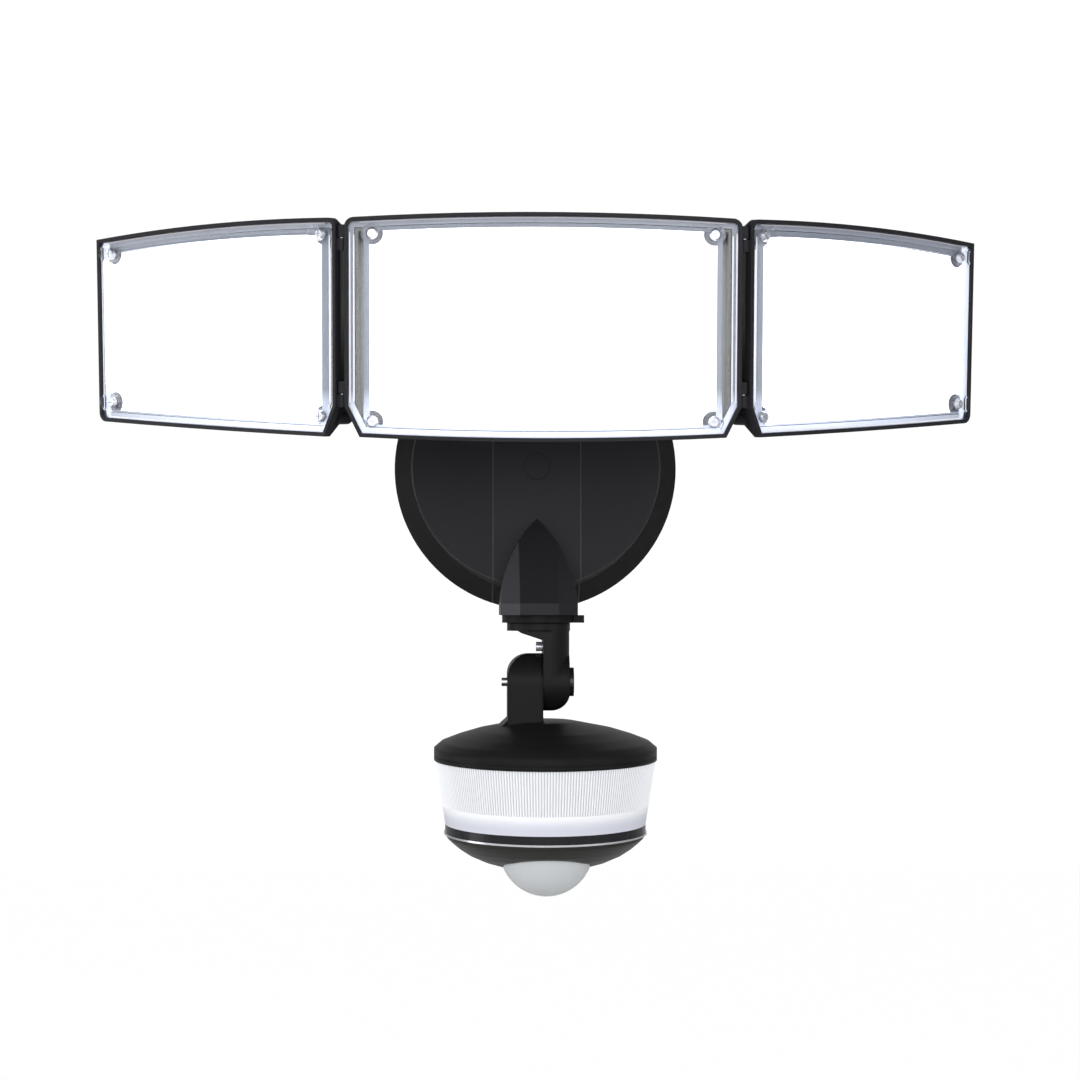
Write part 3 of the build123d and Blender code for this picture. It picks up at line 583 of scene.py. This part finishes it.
@dataclass
class FinishSet:
    """Every finish of the light, by name."""

    groups: NodeGroups
    made: Dict[str, bpy.types.Material] = field(default_factory=dict)

    def build(self) -> None:
        """Build all the materials once."""
        smooth = partial(Finish, texture=Texture.SMOOTH)
        shell = partial(Finish, colour=(0.018, 0.018, 0.0215), rough=(0.36, 0.48), specular=0.13,
                        round_mm=0.5)
        border = partial(LitTone, low_z=14.0, high_z=26.0)
        finishes = [
            shell("black_shell"),
            shell("black_canopy", tone=CanopyPaintedLight()),
            Finish("black_stem", (0.0065, 0.0065, 0.0065), rough=(0.36, 0.48), specular=0.12, round_mm=1.0),
            # Painted shade: the swivel collar is darker than the other black parts, for the boss's shadow
            # on it.
            Finish("black_flange_painted_shade", (0.004, 0.004, 0.004), rough=(0.4, 0.5), specular=0.12, round_mm=0.5),
            Finish("black_cap", (0.008, 0.008, 0.0082), rough=(0.36, 0.46), specular=0.11, round_mm=2.5),
            smooth("black_gloss", (0.012, 0.012, 0.014), rough=(0.16, 0.24), specular=0.25),
            smooth("bolt_metal", (0.012, 0.012, 0.014), rough=(0.2, 0.3), specular=0.4,
                   tone=TipTone((0.75, 0.75, 0.77), x=-12.5)),
            # The bowl's olive tint is painted light from below.
            Finish("black_painted_olive_light", (0.0165, 0.0165, 0.0135), rough=(0.3, 0.4), round_mm=2.0),
            Finish("seal_rubber", (0.012, 0.012, 0.012), rough=(0.7, 0.85), specular=0.2),
            Finish("potted_module", (0.03, 0.03, 0.033), rough=(0.5, 0.7)),
            Finish("zinc_steel", (0.62, 0.62, 0.64), metallic=1.0, rough=(0.25, 0.4), bump=0.03,
                   dust_amount=0.08),
            smooth("bright_trim", (0.8, 0.81, 0.84), metallic=1.0, rough=(0.1, 0.18)),
            smooth("white_screw", (0.62, 0.63, 0.68), metallic=0.6, rough=(0.2, 0.3)),
            # Painted sheen and glow: the seal face's lavender grey stands in for the cover flange's
            # reflection over the dark seal, and the border tone adds painted glow at the bottom and outer
            # ends.
            smooth("clear_seal", (0.35, 0.38, 0.45), rough=(0.3, 0.4),
                   tone=border((0.8, 0.86, 1.0), 0.45, end_x=183.6)),
            # Painted shade: grey border for the shaded walls of cover and reflector, with painted glow at
            # the bottom and outer ends.
            smooth("mask_grey", (0.3, 0.33, 0.39), rough=(0.25, 0.35),
                   tone=border((0.7, 0.76, 0.92), 0.5, end_x=183.0)),
            # Painted highlight: pale lines where the cover's edges catch the lit sheet, with painted glow
            # below the top.
            smooth("cover_bead", (0.5, 0.49, 0.53), rough=(0.2, 0.3),
                   tone=LitTone((0.9, 0.91, 0.97), 0.25, low_z=84.0, high_z=91.0)),
            smooth("post_grey", (0.2, 0.21, 0.25), rough=(0.3, 0.4), specular=0.4),
            # Painted shade: the reflector's white plastic is given a dim grey-olive for the shade it lies
            # in.
            smooth("grey_reflector", (0.17, 0.175, 0.155), rough=(0.2, 0.3), specular=0.5),
            smooth("white_board", (0.55, 0.56, 0.6), rough=(0.4, 0.5)),
            smooth("green_board", (0.02, 0.12, 0.05), rough=(0.35, 0.5)),
            smooth("lit_led", (1.0, 0.98, 0.93), rough=(0.3, 0.4), glow=1.0),
            smooth("lit_sheet", (0.98, 0.985, 1.0), rough=(0.3, 0.4), glow=1.6),
            Finish("dial_grey", (0.6, 0.61, 0.62), rough=(0.4, 0.5)),
            # Painted glow: the dome gives a little light of its own, though it is no lamp.
            smooth("milky_dome", (0.6, 0.62, 0.63), rough=(0.13, 0.18), specular=0.9,
                   dust=(0.7, 0.72, 0.74), dust_amount=0.2, glow=0.08),
            ClearFinish("clear_cover"),
            RibbedFinish("frosted_ring"),
        ]
        for finish in finishes:
            self.made[finish.name] = finish.build(self.groups)

    def dress(self, pieces: Dict[str, Sequence[str]]) -> None:
        """Give CAD nodes their finishes.

        Args:
            pieces: The CAD nodes of each finish.
        """
        for finish, names in pieces.items():
            for name in names:
                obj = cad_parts[name]
                if not obj.material_slots:
                    obj.data.materials.append(None)
                for slot in obj.material_slots:
                    slot.material = self.made[finish]


# ---------------- mesh helpers

def put_in_scene(name: str, data: bpy.types.ID) -> bpy.types.Object:
    """Put a new object into the scene.

    Args:
        name: Its name.
        data: Its mesh, lamp or camera.

    Returns:
        The object.
    """
    made = bpy.data.objects.new(name, data)
    bpy.context.scene.collection.objects.link(made)
    return made


def mesh_from_nodes(tree: bpy.types.NodeTree, values: Dict[str, object], points: Sequence[Vector],
                    name: str) -> bpy.types.Object:
    """Run a geometry node tree once and keep its result as a plain mesh.

    Args:
        tree: The geometry node tree.
        values: Its inputs by name.
        points: Where its parts go.
        name: The piece's name.

    Returns:
        The piece.
    """
    seed = bpy.data.meshes.new(name + "_seed")
    seed.from_pydata(points, [], [])
    carrier = put_in_scene(name + "_carrier", seed)
    modifier = carrier.modifiers.new("build", "NODES")
    modifier.node_group = tree
    for item in tree.interface.items_tree:
        if item.item_type == "SOCKET" and item.in_out == "INPUT" and item.name in values:
            modifier[item.identifier] = values[item.name]
    bpy.context.view_layer.update()
    depsgraph = bpy.context.evaluated_depsgraph_get()
    mesh = bpy.data.meshes.new_from_object(carrier.evaluated_get(depsgraph))
    mesh.name = name
    bpy.data.objects.remove(carrier)
    return put_in_scene(name, mesh)


class PartTree:
    """Geometry nodes that set one small part on every vertex of the carrier's mesh."""

    def __init__(self, name: str, material: bpy.types.Material) -> None:
        """Start the tree.

        Args:
            name: The tree's name.
            material: Finish of the part.
        """
        self.tree = bpy.data.node_groups.new(name, "GeometryNodeTree")
        self.wires = Wiring(self.tree)
        self.material = material
        declare(self.tree, "Geometry", "Geometry")
        declare(self.tree, "Vector", "Turn")
        declare(self.tree, "Geometry", "Geometry", out=True)
        self.given = self.wires.add("NodeGroupInput").outputs

    def _size(self, name: str) -> Socket:
        """Length that is one of the tree's inputs, added the first time that it is asked for.

        Args:
            name: The input's name.

        Returns:
            The socket that gives it inside the tree.
        """
        if name not in self.given:
            declare(self.tree, "Float", name)
        return self.given[name]

    def _lift(self, mesh: Socket, height: str) -> Socket:
        """Move a mesh along z.

        Args:
            mesh: The mesh.
            height: Input with the distance.

        Returns:
            The mesh socket.
        """
        shift = self.wires.add("ShaderNodeCombineXYZ", {"Z": self._size(height)}).outputs["Vector"]
        moved = self.wires.add("GeometryNodeTransform", {"Geometry": mesh, "Translation": shift})
        return moved.outputs["Geometry"]

    def _cone(self, low: str, high: str, length: str, start: str, sides: int) -> Socket:
        """Upright cone or cylinder whose sizes are inputs of the tree.

        Args:
            low: Input with the lower radius.
            high: Input with the upper radius.
            length: Input with the height.
            start: Input with the lower end's height.
            sides: Corners of its round.

        Returns:
            The mesh socket.
        """
        cone = self.wires.add("GeometryNodeMeshCone", {
            "Vertices": sides, "Radius Bottom": self._size(low), "Radius Top": self._size(high),
            "Depth": self._size(length)})
        return self._lift(cone.outputs["Mesh"], start)

    def _cut(self, body: Socket, *cutters: Socket) -> Socket:
        """Cut meshes out of a body.

        Args:
            body: The mesh that is cut.
            cutters: The meshes that are taken away.

        Returns:
            The mesh socket.
        """
        cut = self.wires.add("GeometryNodeMeshBoolean", {"Mesh 1": body}, operation="DIFFERENCE")
        for cutter in cutters:
            self.wires.put(cut.inputs["Mesh 2"], cutter)
        return cut.outputs["Mesh"]

    def _finish(self, part: Socket) -> bpy.types.NodeTree:
        """Set the part on the points, make it real and paint it.

        Args:
            part: The part's mesh.

        Returns:
            The finished tree.
        """
        copies = self.wires.add("GeometryNodeInstanceOnPoints", {
            "Points": self.given["Geometry"], "Instance": part, "Rotation": self.given["Turn"]})
        real = self.wires.add("GeometryNodeRealizeInstances", {"Geometry": copies.outputs["Instances"]})
        paint = self.wires.add("GeometryNodeSetMaterial", {"Geometry": real.outputs["Geometry"],
                                                           "Material": self.material})
        self.wires.add("NodeGroupOutput", {"Geometry": paint.outputs["Geometry"]})
        return self.tree

    def screw(self) -> bpy.types.NodeTree:
        """Pan-head screw with a cross recess; its z points out of the head.

        Returns:
            The finished tree.
        """
        head = self._cone("Head Radius", "Crown Radius", "Head Height", "Seat", sides=24)
        blades = []
        for x, y in (("Slot Length", "Slot Width"), ("Slot Width", "Slot Length")):
            size = self.wires.add("ShaderNodeCombineXYZ", {
                "X": self._size(x), "Y": self._size(y), "Z": self._size("Head Height")})
            blade = self.wires.add("GeometryNodeMeshCube", {"Size": size.outputs["Vector"]})
            blades.append(self._lift(blade.outputs["Mesh"], "Slot Middle"))
        joined = self.wires.add("GeometryNodeJoinGeometry")
        for part in (self._cut(head, *blades),
                     self._cone("Shank Radius", "Shank Radius", "Shank Length", "Tip", sides=16)):
            self.wires.put(joined.inputs["Geometry"], part)
        return self._finish(joined.outputs["Geometry"])

    def collar(self) -> bpy.types.NodeTree:
        """Flat ring round a screw.

        Returns:
            The finished tree.
        """
        outer = self._cone("Outer Radius", "Outer Radius", "Height", "Base", sides=32)
        inner = self._cone("Inner Radius", "Inner Radius", "Deep", "Below", sides=32)
        return self._finish(self._cut(outer, inner))


# ---------------- canopy

@dataclass
class Canopy:
    """The round wall canopy with the sensor boss, its strap and the head arm."""

    finishes: FinishSet

    def dress(self) -> None:
        """Give the canopy's pieces their finishes."""
        self.finishes.dress({
            "black_canopy": ["canopy_housing"],
            "black_shell": ["head_arm", "canopy_plug"],
            "seal_rubber": ["wall_gasket"],
            "zinc_steel": ["mounting_strap", "canopy_screw", "arm_screw", "tilt_bolt", "tilt_washers",
                           "tilt_nut"],
            "potted_module": ["driver_module", "terminal_block"],
        })
        LOG.info("canopy dressed")


# ---------------- heads

@dataclass(frozen=True)
class HeadFront:
    """Front of a head inside its rim. Millimetres on the head's front plane, x outward on a side head.

    A flat arch runs through the three points of the top, and one through those of the bottom. Posts are the
    centres of the screws.
    """

    top: Line
    bottom: Line
    ends: Pair
    posts: Line


HEAD_HALF = 79.2
SIDE_START = 0.9
SIDE_END = 140.5
CHAMFER = (6.0, 12.2)
CENTER_FRONT = HeadFront(
    top=((-HEAD_HALF, 43.7), (0.0, 46.2), (HEAD_HALF, 43.7)),
    bottom=((CHAMFER[0] - HEAD_HALF, -43.2), (0.0, -45.1), (HEAD_HALF - CHAMFER[0], -43.2)),
    ends=(-HEAD_HALF, HEAD_HALF),
    posts=((-68.2, 37.5), (68.2, 37.5), (68.2, -37.0), (-68.2, -37.0)),
)
SIDE_FRONT = HeadFront(
    top=((SIDE_START, 43.7), (66.0, 43.5), (SIDE_END, 38.6)),
    bottom=((SIDE_START + CHAMFER[0], -43.2), (66.0, -41.8), (139.5, -39.2)),
    ends=(SIDE_START, SIDE_END),
    posts=((9.4, 37.5), (132.0, 32.4), (132.0, -31.0), (9.4, -35.0)),
)


@dataclass(frozen=True)
class HeadPlace:
    """Where one head sits at rest. Millimetres and degrees."""

    side: Side
    front: HeadFront
    bar_y: float = -130.0
    bar_z: float = 49.4
    bar_tilt: float = 5.5
    hinge_x: float = 80.1
    hinge_y: float = 3.2
    yaw: float = 40.0

    @property
    def name(self) -> str:
        """First word of the names of its pieces."""
        return self.side.name.lower()

    @property
    def body(self) -> str:
        """Name of its body."""
        return self.name + "_head"

    def matrix(self) -> Matrix:
        """Head frame in metres, x outward on the right-hand head.

        Returns:
            The frame's matrix.
        """
        place = (Matrix.Translation(Vector((0.0, self.bar_y, self.bar_z)) * MM)
                 @ Matrix.Rotation(math.radians(self.bar_tilt), 4, "X"))
        sign = self.side.value
        if sign:
            hinge = Vector((sign * self.hinge_x, self.hinge_y, 0.0)) * MM
            back = Vector((0.0, -self.hinge_y, 0.0)) * MM
            place = (place @ Matrix.Translation(hinge)
                     @ Matrix.Rotation(math.radians(sign * self.yaw), 4, "Z") @ Matrix.Translation(back))
        return place

    def point(self, x: float, y: float, z: float) -> Vector:
        """Turn a place on the head into one in the scene.

        Args:
            x: Millimetres outward.
            y: Millimetres back from the front plane.
            z: Millimetres up.

        Returns:
            The place in metres.
        """
        return self.matrix() @ (Vector(((self.side.value or 1) * x, y, z)) * MM)

    def turn(self) -> Vector:
        """Turn that points a part's z out of the head's front.

        Returns:
            Euler angles.
        """
        out = self.matrix().to_3x3() @ Matrix.Rotation(math.radians(90.0), 3, "X")
        return Vector(out.to_euler())


def arch(points: Line, x: float) -> float:
    """Height of a flat arch through three points.

    Args:
        points: The three points.
        x: Place along the head.

    Returns:
        The height there.
    """
    total = 0.0
    for i, (xi, zi) in enumerate(points):
        share = zi
        for j, (xj, _) in enumerate(points):
            if i != j:
                share *= (x - xj) / (xi - xj)
        total += share
    return total


def stations(start: float, end: float, steps: int = 24) -> List[float]:
    """Evenly spaced places along a head.

    Args:
        start: The first.
        end: The last.
        steps: How many steps lie between them.

    Returns:
        The places.
    """
    return [start + (end - start) * i / steps for i in range(steps + 1)]


@dataclass(frozen=True)
class Border:
    """Thin border round a head. Millimetres on the head's front plane.

    Insets are distances from the head's edges: the border's outer edge, then its inner one along the top
    and along the bottom. Corners are the width and height cut off the lower corners. A side head's far end
    has its own softening and slant.
    """

    ends: Pair
    inner_ends: Pair
    insets: Tuple[float, float, float]
    corner: Pair
    inner_corner: Pair
    depth: Pair
    top_cut: Pair = (0.0, 0.0)
    far_soft: float = 0.3
    far_slant: float = 0.0
    least_step: float = 0.01
    closed: bool = True

    def _loop(self, place: HeadPlace, ends: Pair, down: float, up: float, corner: Pair,
              top_cut: Pair = (0.0, 0.0)) -> List[Pair]:
        """Closed outline: along the top, down, back along the bottom and up.

        Args:
            place: The head.
            ends: Its two ends.
            down: Distance from the head's upper edge.
            up: Distance from the head's lower edge.
            corner: Width and height cut off the lower corners.
            top_cut: How much is cut off each upper corner.

        Returns:
            The outline's points.
        """
        top, bottom = place.front.top, place.front.bottom
        low, high = ends
        far = corner if place.side is Side.CENTER else (self.far_soft, self.far_soft)
        foot = high - self.far_slant
        loop = [(x, arch(top, x) - down) for x in stations(low + top_cut[0], high - top_cut[1])]
        loop.append((high, arch(top, high) - down - top_cut[1] - self.least_step))
        loop.append((foot, arch(bottom, foot) + up + far[1]))
        loop += [(x, arch(bottom, x) + up) for x in stations(foot - far[0], low + corner[0])]
        loop.append((low, arch(bottom, low) + up + corner[1]))
        loop.append((low, arch(top, low) - down - top_cut[0] - self.least_step))
        return loop

    def strips(self, place: HeadPlace) -> List[Strip]:
        """Rings of the border.

        Args:
            place: The head.

        Returns:
            One strip, whose last ring joins its first.
        """
        edge, top_in, bottom_in = self.insets
        outer = self._loop(place, self.ends, edge, edge, self.corner, self.top_cut)
        inner = self._loop(place, self.inner_ends, top_in, bottom_in, self.inner_corner)
        front, back = self.depth
        return [[[(x, y, z) for x, z in loop]
                 for loop, y in ((outer, front), (inner, front), (inner, back), (outer, back))]]


@dataclass(frozen=True)
class EdgeGlints:
    """Thin strips of painted highlight on the flange of a head's cover, where its edges catch the lit
    sheet. Millimetres on the head's front plane.

    A run is where a line starts and ends. The far line stands in for the uprights at the far end.
    """

    top_run: Pair
    bottom_run: Pair
    far_line: Line = ()
    rim: float = 2.25
    rim_run: Pair = (-29.5, 38.0)
    window: float = 3.85
    window_run: Pair = (-29.0, 37.0)
    wide: float = 0.55
    depth: Pair = (0.88, 0.98)
    closed: bool = False

    def _lines(self, front: HeadFront) -> List[Line]:
        """The lines' points.

        Args:
            front: The head's front.

        Returns:
            One run of points per line.
        """
        lines = [tuple((x, arch(points, x) + inset) for x in stations(*run))
                 for points, run, inset in ((front.top, self.top_run, -self.rim),
                                            (front.bottom, self.bottom_run, self.rim))]
        near, far = front.ends
        uprights = [(near, 1)] if self.far_line else [(near, 1), (far, -1)]
        for end, inward in uprights:
            for inset, (low, high) in ((self.rim, self.rim_run), (self.window, self.window_run)):
                x = end + inward * inset
                lines.append(((x, low), (x, high)))
        if self.far_line:
            lines.append(self.far_line)
        return lines

    def _strip(self, line: Line) -> Strip:
        """Square rings along one line.

        Args:
            line: The line's points.

        Returns:
            The rings.
        """
        front, back = self.depth
        rings = []
        for i, (x, z) in enumerate(line):
            before, after = line[max(i - 1, 0)], line[min(i + 1, len(line) - 1)]
            run = Vector((after[0] - before[0], after[1] - before[1])).normalized() * self.wide / 2
            rings.append([(x - s * run.y, y, z + s * run.x)
                          for s, y in ((1, front), (-1, front), (-1, back), (1, back))])
        return rings

    def strips(self, place: HeadPlace) -> List[Strip]:
        """One strip of rings for each line on the given head."""
        return [self._strip(line) for line in self._lines(place.front)]


@dataclass
class Heads:
    """The three lit heads.

    Millimetres on the head's front plane, and from it along the screws, outward.
    """

    finishes: FinishSet
    places: Tuple[HeadPlace, ...] = (HeadPlace(Side.CENTER, CENTER_FRONT),
                                     HeadPlace(Side.LEFT, SIDE_FRONT), HeadPlace(Side.RIGHT, SIDE_FRONT))
    head_r: float = 2.5
    crown_r: float = 1.7
    head_h: float = 1.6
    seat: float = -1.0
    slot_long: float = 2.8
    slot_wide: float = 0.55
    slot_deep: float = 0.9
    shank_r: float = 1.45
    shank_end: float = -14.9
    collar_r: float = 4.4
    collar_bore: float = 1.7
    collar_low: float = -2.79
    collar_high: float = -2.73
    collar_over: float = 1.0
    # Grey borders that paint the shade of the covers' and reflectors' walls round the milky sheets.
    center_mask: Border = Border((-71.6, 71.6), (-69.2, 69.2), (4.3, 6.0, 5.3), (1.6, 3.2), (0.8, 1.7),
                                 depth=(2.64, 2.72))
    side_mask: Border = Border((6.4, 135.9), (10.6, 135.2), (4.3, 6.8, 5.3), (2.0, 4.0), (0.8, 1.7),
                               depth=(2.64, 2.72))
    seal_edges: Pair = (2.1, 4.0)
    seal_depth: Pair = (2.5, 2.57)
    seal_cut: float = 1.0
    chamfer_loss: Pair = (0.378, 0.768)
    # Lines of painted highlight on the covers' flanges.
    center_glints: EdgeGlints = EdgeGlints((-73.0, 73.0), (-71.0, 71.0))
    side_glints: EdgeGlints = EdgeGlints((7.0, 135.0), (9.5, 133.5), far_line=((137.35, -34.0), (138.15, 35.0)))

    def dress(self) -> None:
        """Give the heads' pieces their finishes."""
        kinds = {"black_shell": "housing", "clear_seal": "gasket", "clear_cover": "lens",
                 "zinc_steel": "screws", "grey_reflector": "reflector", "lit_sheet": "diffuser",
                 "white_board": "board", "lit_led": "leds"}
        self.finishes.dress({finish: [place.name + "_" + kind for place in self.places]
                             for finish, kind in kinds.items()})
        self.finishes.dress({"black_shell": ["tilt_lug"],
                             "zinc_steel": ["left_hinge_pins", "right_hinge_pins"]})
        LOG.info("heads dressed")

    def fasten(self) -> None:
        """Cross-recessed lens screws and the grey collars on their posts."""
        screw = PartTree("lens_screw", self.finishes.made["white_screw"]).screw()
        collar = PartTree("post_collar", self.finishes.made["post_grey"]).collar()
        crown = self.seat + self.head_h
        screw_sizes = {
            "Head Radius": self.head_r, "Crown Radius": self.crown_r, "Head Height": self.head_h,
            "Seat": self.seat, "Slot Length": self.slot_long, "Slot Width": self.slot_wide,
            "Slot Middle": crown - self.slot_deep + self.head_h / 2, "Shank Radius": self.shank_r,
            "Shank Length": self.seat - self.shank_end, "Tip": self.shank_end,
        }
        height = self.collar_high - self.collar_low
        collar_sizes = {
            "Outer Radius": self.collar_r, "Inner Radius": self.collar_bore, "Height": height,
            "Base": self.collar_low, "Deep": height + 2 * self.collar_over,
            "Below": self.collar_low - self.collar_over,
        }
        for place in self.places:
            points = [place.point(x, 0.0, z) for x, z in place.front.posts]
            for tree, sizes, suffix, slot in ((screw, screw_sizes, "_cross_screws", "steel"),
                                              (collar, collar_sizes, "_post_collars", "reflector")):
                values: Dict[str, object] = {key: size * MM for key, size in sizes.items()}
                values["Turn"] = place.turn()
                piece = mesh_from_nodes(tree, values, points, place.name + suffix)
                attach(piece, place.body)
                if tree is screw:
                    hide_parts(place.name + "_screws")
                LOG.info("%s: %d faces", piece.name, len(piece.data.polygons))

    def _piece(self, place: HeadPlace, name: str, finish: str,
               form: Union[Border, EdgeGlints]) -> None:
        """Build a thin piece that rides on a head.

        Args:
            place: The head.
            name: The piece's name after the head's own.
            finish: Its finish.
            form: Its shape. Neighbouring rings of a strip are joined by faces.
        """
        shape = bmesh.new()
        for strip in form.strips(place):
            rings = [[shape.verts.new(place.point(*point)) for point in ring] for ring in strip]
            for ring, follow in zip(rings, rings[1:] + (rings[:1] if form.closed else [])):
                for i, corner in enumerate(ring):
                    j = (i + 1) % len(ring)
                    shape.faces.new((corner, ring[j], follow[j], follow[i]))
            if not form.closed:
                shape.faces.new(rings[0])
                shape.faces.new(rings[-1])
        bmesh.ops.recalc_face_normals(shape, faces=shape.faces)
        full_name = place.name + "_" + name
        mesh = bpy.data.meshes.new(full_name)
        shape.to_mesh(mesh)
        shape.free()
        mesh.materials.append(self.finishes.made[finish])
        piece = put_in_scene(full_name, mesh)
        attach(piece, place.body)
        LOG.info("%s: %d faces", piece.name, len(piece.data.polygons))

    def mask(self) -> None:
        """Grey borders round the milky sheets, painted as the shade of the covers' and reflectors' walls,
        with painted glow at their bottom and outer ends.
        """
        for place in self.places:
            form = self.center_mask if place.side is Side.CENTER else self.side_mask
            self._piece(place, "mask", "mask_grey", form)

    def seal(self) -> None:
        """Faces of the seals, moulded into the back of the covers' flanges."""
        edge, inside = self.seal_edges
        corners = [tuple(size - loss * inset for size, loss in zip(CHAMFER, self.chamfer_loss))
                   for inset in self.seal_edges]
        cut = self.seal_cut
        for place in self.places:
            low, high = place.front.ends
            cuts = {"top_cut": (cut, cut)}
            if place.side is not Side.CENTER:
                cuts = {"top_cut": (cut, 0.0), "far_soft": cut, "far_slant": cut}
            form = Border((low + edge, high - edge), (low + inside, high - inside), (edge, inside, inside),
                          *corners, self.seal_depth, **cuts)
            # The seal faces carry a painted lavender sheen and a painted glow.
            self._piece(place, "seal_face", "clear_seal", form)

    def bead(self) -> None:
        """Lines of painted highlight on the covers' flanges, near the rim and next to the raised window."""
        for place in self.places:
            form = self.center_glints if place.side is Side.CENTER else self.side_glints
            self._piece(place, "cover_beads", "cover_bead", form)


# ---------------- sensor

@dataclass
class Sensor:
    """The swivelling drum sensor with its ribbed night-light ring."""

    finishes: FinishSet

    def dress(self) -> None:
        """Give the sensor's pieces their finishes."""
        self.finishes.dress({
            "black_stem": ["swivel_nut", "sensor_stem"],
            "black_flange_painted_shade": ["swivel_collar"],
            "black_cap": ["sensor_cap"],
            "black_painted_olive_light": ["sensor_bowl"],
            "black_gloss": ["dark_ring"],
            "bolt_metal": ["knuckle_bolt"],
            "white_screw": ["lock_screw"],
            "zinc_steel": ["pir_element"],
            "bright_trim": ["trim_ring"],
            "seal_rubber": ["cap_oring"],
            "grey_reflector": ["night_core"],
            "white_board": ["night_strip"],
            "lit_led": ["night_leds"],
            "frosted_ring": ["night_ring"],
            "milky_dome": ["pir_dome", "photocell"],
            "green_board": ["sensor_board"],
            "dial_grey": ["range_dial", "time_dial", "dusk_dial"],
        })
        LOG.info("sensor dressed")


# ---------------- studio

@dataclass(frozen=True)
class Lamp:
    """Soft square lamp. Metres and watts."""

    name: str
    at: Tuple[float, float, float]
    size: float
    power: float


@dataclass
class Studio:
    """Pale floor and backdrop, soft lamps and the camera. Metres."""

    floor_z: float = -0.32
    back_y: float = 1.4
    near_y: float = -3.0
    half_wide: float = 4.0
    back_top: float = 4.0
    floor_white: float = 0.93
    back_white: float = 1.0
    white_strength: float = 1.04
    paint: Colour = (0.86, 0.86, 0.86)
    sky: Colour = (0.9, 0.92, 0.95)
    sky_strength: float = 0.3
    lamps: Tuple[Lamp, ...] = (
        Lamp("key", (-1.5, -1.3, 0.6), 1.1, 10.0),
        Lamp("fill", (1.5, -1.3, 0.3), 1.2, 9.0),
        Lamp("front", (-0.1, -2.2, 0.2), 1.4, 17.0),
        Lamp("low", (0.1, -1.2, -0.9), 0.8, 3.0),
        Lamp("edge", (-1.3, -0.15, -0.1), 0.5, 2.5),
    )
    camera_at: Tuple[float, float, float] = (-0.0306, -1.141, -0.0604)
    look_at: Tuple[float, float, float] = (0.0023, 0.0, -0.0313)
    lens: float = 85.0
    film_wide: float = 36.0

    def _white(self, name: str, show: float) -> bpy.types.Material:
        """White stage paint that the camera sees as plain white.

        Args:
            name: The material's name.
            show: Share of plain white in what the camera sees.

        Returns:
            The material.
        """
        mat, wires, _ = new_material(name)
        mat.node_tree.nodes.clear()
        paint = wires.add("ShaderNodeBsdfDiffuse", {"Color": self.paint})
        glow = wires.add("ShaderNodeEmission", {"Strength": self.white_strength})
        ray = wires.add("ShaderNodeLightPath").outputs
        seen = wires.maths("MAXIMUM", ray["Is Camera Ray"], ray["Is Transmission Ray"])
        mix = wires.add("ShaderNodeMixShader", {"Fac": wires.maths("MULTIPLY", seen, show),
                                                1: paint.outputs["BSDF"], 2: glow.outputs["Emission"]})
        wires.add("ShaderNodeOutputMaterial", {"Surface": mix.outputs["Shader"]})
        return mat

    def _sheet(self, name: str, edges: Sequence[Pair], show: float) -> None:
        """Flat stage sheet, as wide as the stage.

        Args:
            name: The sheet's name.
            edges: Y and z of its two long edges.
            show: Share of plain white in what the camera sees.
        """
        (y0, z0), (y1, z1) = edges
        wide = self.half_wide
        mesh = bpy.data.meshes.new(name)
        mesh.from_pydata([(-wide, y0, z0), (wide, y0, z0), (wide, y1, z1), (-wide, y1, z1)], [],
                         [(0, 1, 2, 3)])
        mesh.materials.append(self._white(name + "_paint", show))
        put_in_scene(name, mesh)

    def stage(self) -> None:
        """Floor and backdrop."""
        corner = (self.back_y, self.floor_z)
        self._sheet("floor", ((self.near_y, self.floor_z), corner), self.floor_white)
        self._sheet("backdrop", (corner, (self.back_y, self.back_top)), self.back_white)

    def _aim(self, obj: bpy.types.Object, at: Tuple[float, float, float]) -> None:
        """Put a lamp or camera in its place and point it at the light.

        Args:
            obj: The lamp or camera.
            at: Its place.
        """
        obj.location = at
        obj.rotation_euler = (Vector(self.look_at) - Vector(at)).to_track_quat("-Z", "Y").to_euler()

    def light(self) -> None:
        """World and lamps."""
        world = bpy.data.worlds.new("studio")
        bpy.context.scene.world = world
        world.use_nodes = True
        wires = Wiring(world.node_tree)
        nodes = world.node_tree.nodes
        wires.fill(nodes["Background"], {"Color": self.sky, "Strength": self.sky_strength})
        white = wires.add("ShaderNodeBackground", {"Color": (1.0, 1.0, 1.0), "Strength": 1.0})
        ray = wires.add("ShaderNodeLightPath").outputs
        mix = wires.add("ShaderNodeMixShader", {"Fac": ray["Is Camera Ray"],
                                                1: nodes["Background"].outputs["Background"],
                                                2: white.outputs["Background"]})
        wires.put(nodes["World Output"].inputs["Surface"], mix.outputs["Shader"])
        for lamp in self.lamps:
            data = bpy.data.lights.new(lamp.name, "AREA")
            data.shape, data.size, data.energy = "SQUARE", lamp.size, lamp.power
            self._aim(put_in_scene(lamp.name, data), lamp.at)

    def camera(self) -> None:
        """Camera at the photograph's viewpoint."""
        data = bpy.data.cameras.new("view")
        data.lens, data.sensor_width = self.lens, self.film_wide
        cam = put_in_scene("view", data)
        self._aim(cam, self.camera_at)
        bpy.context.scene.camera = cam
        bpy.context.scene.view_settings.view_transform = "Standard"


def main() -> None:
    """Build the scene."""
    logging.basicConfig(level=logging.INFO, format="%(name)s: %(message)s")
    studio = Studio()
    studio.camera()
    studio.light()
    studio.stage()
    finishes = FinishSet(NodeGroups())
    finishes.build()
    Canopy(finishes).dress()
    heads = Heads(finishes)
    heads.dress()
    heads.fasten()
    heads.mask()
    heads.seal()
    heads.bead()
    Sensor(finishes).dress()


if __name__ == "__main__":
    main()
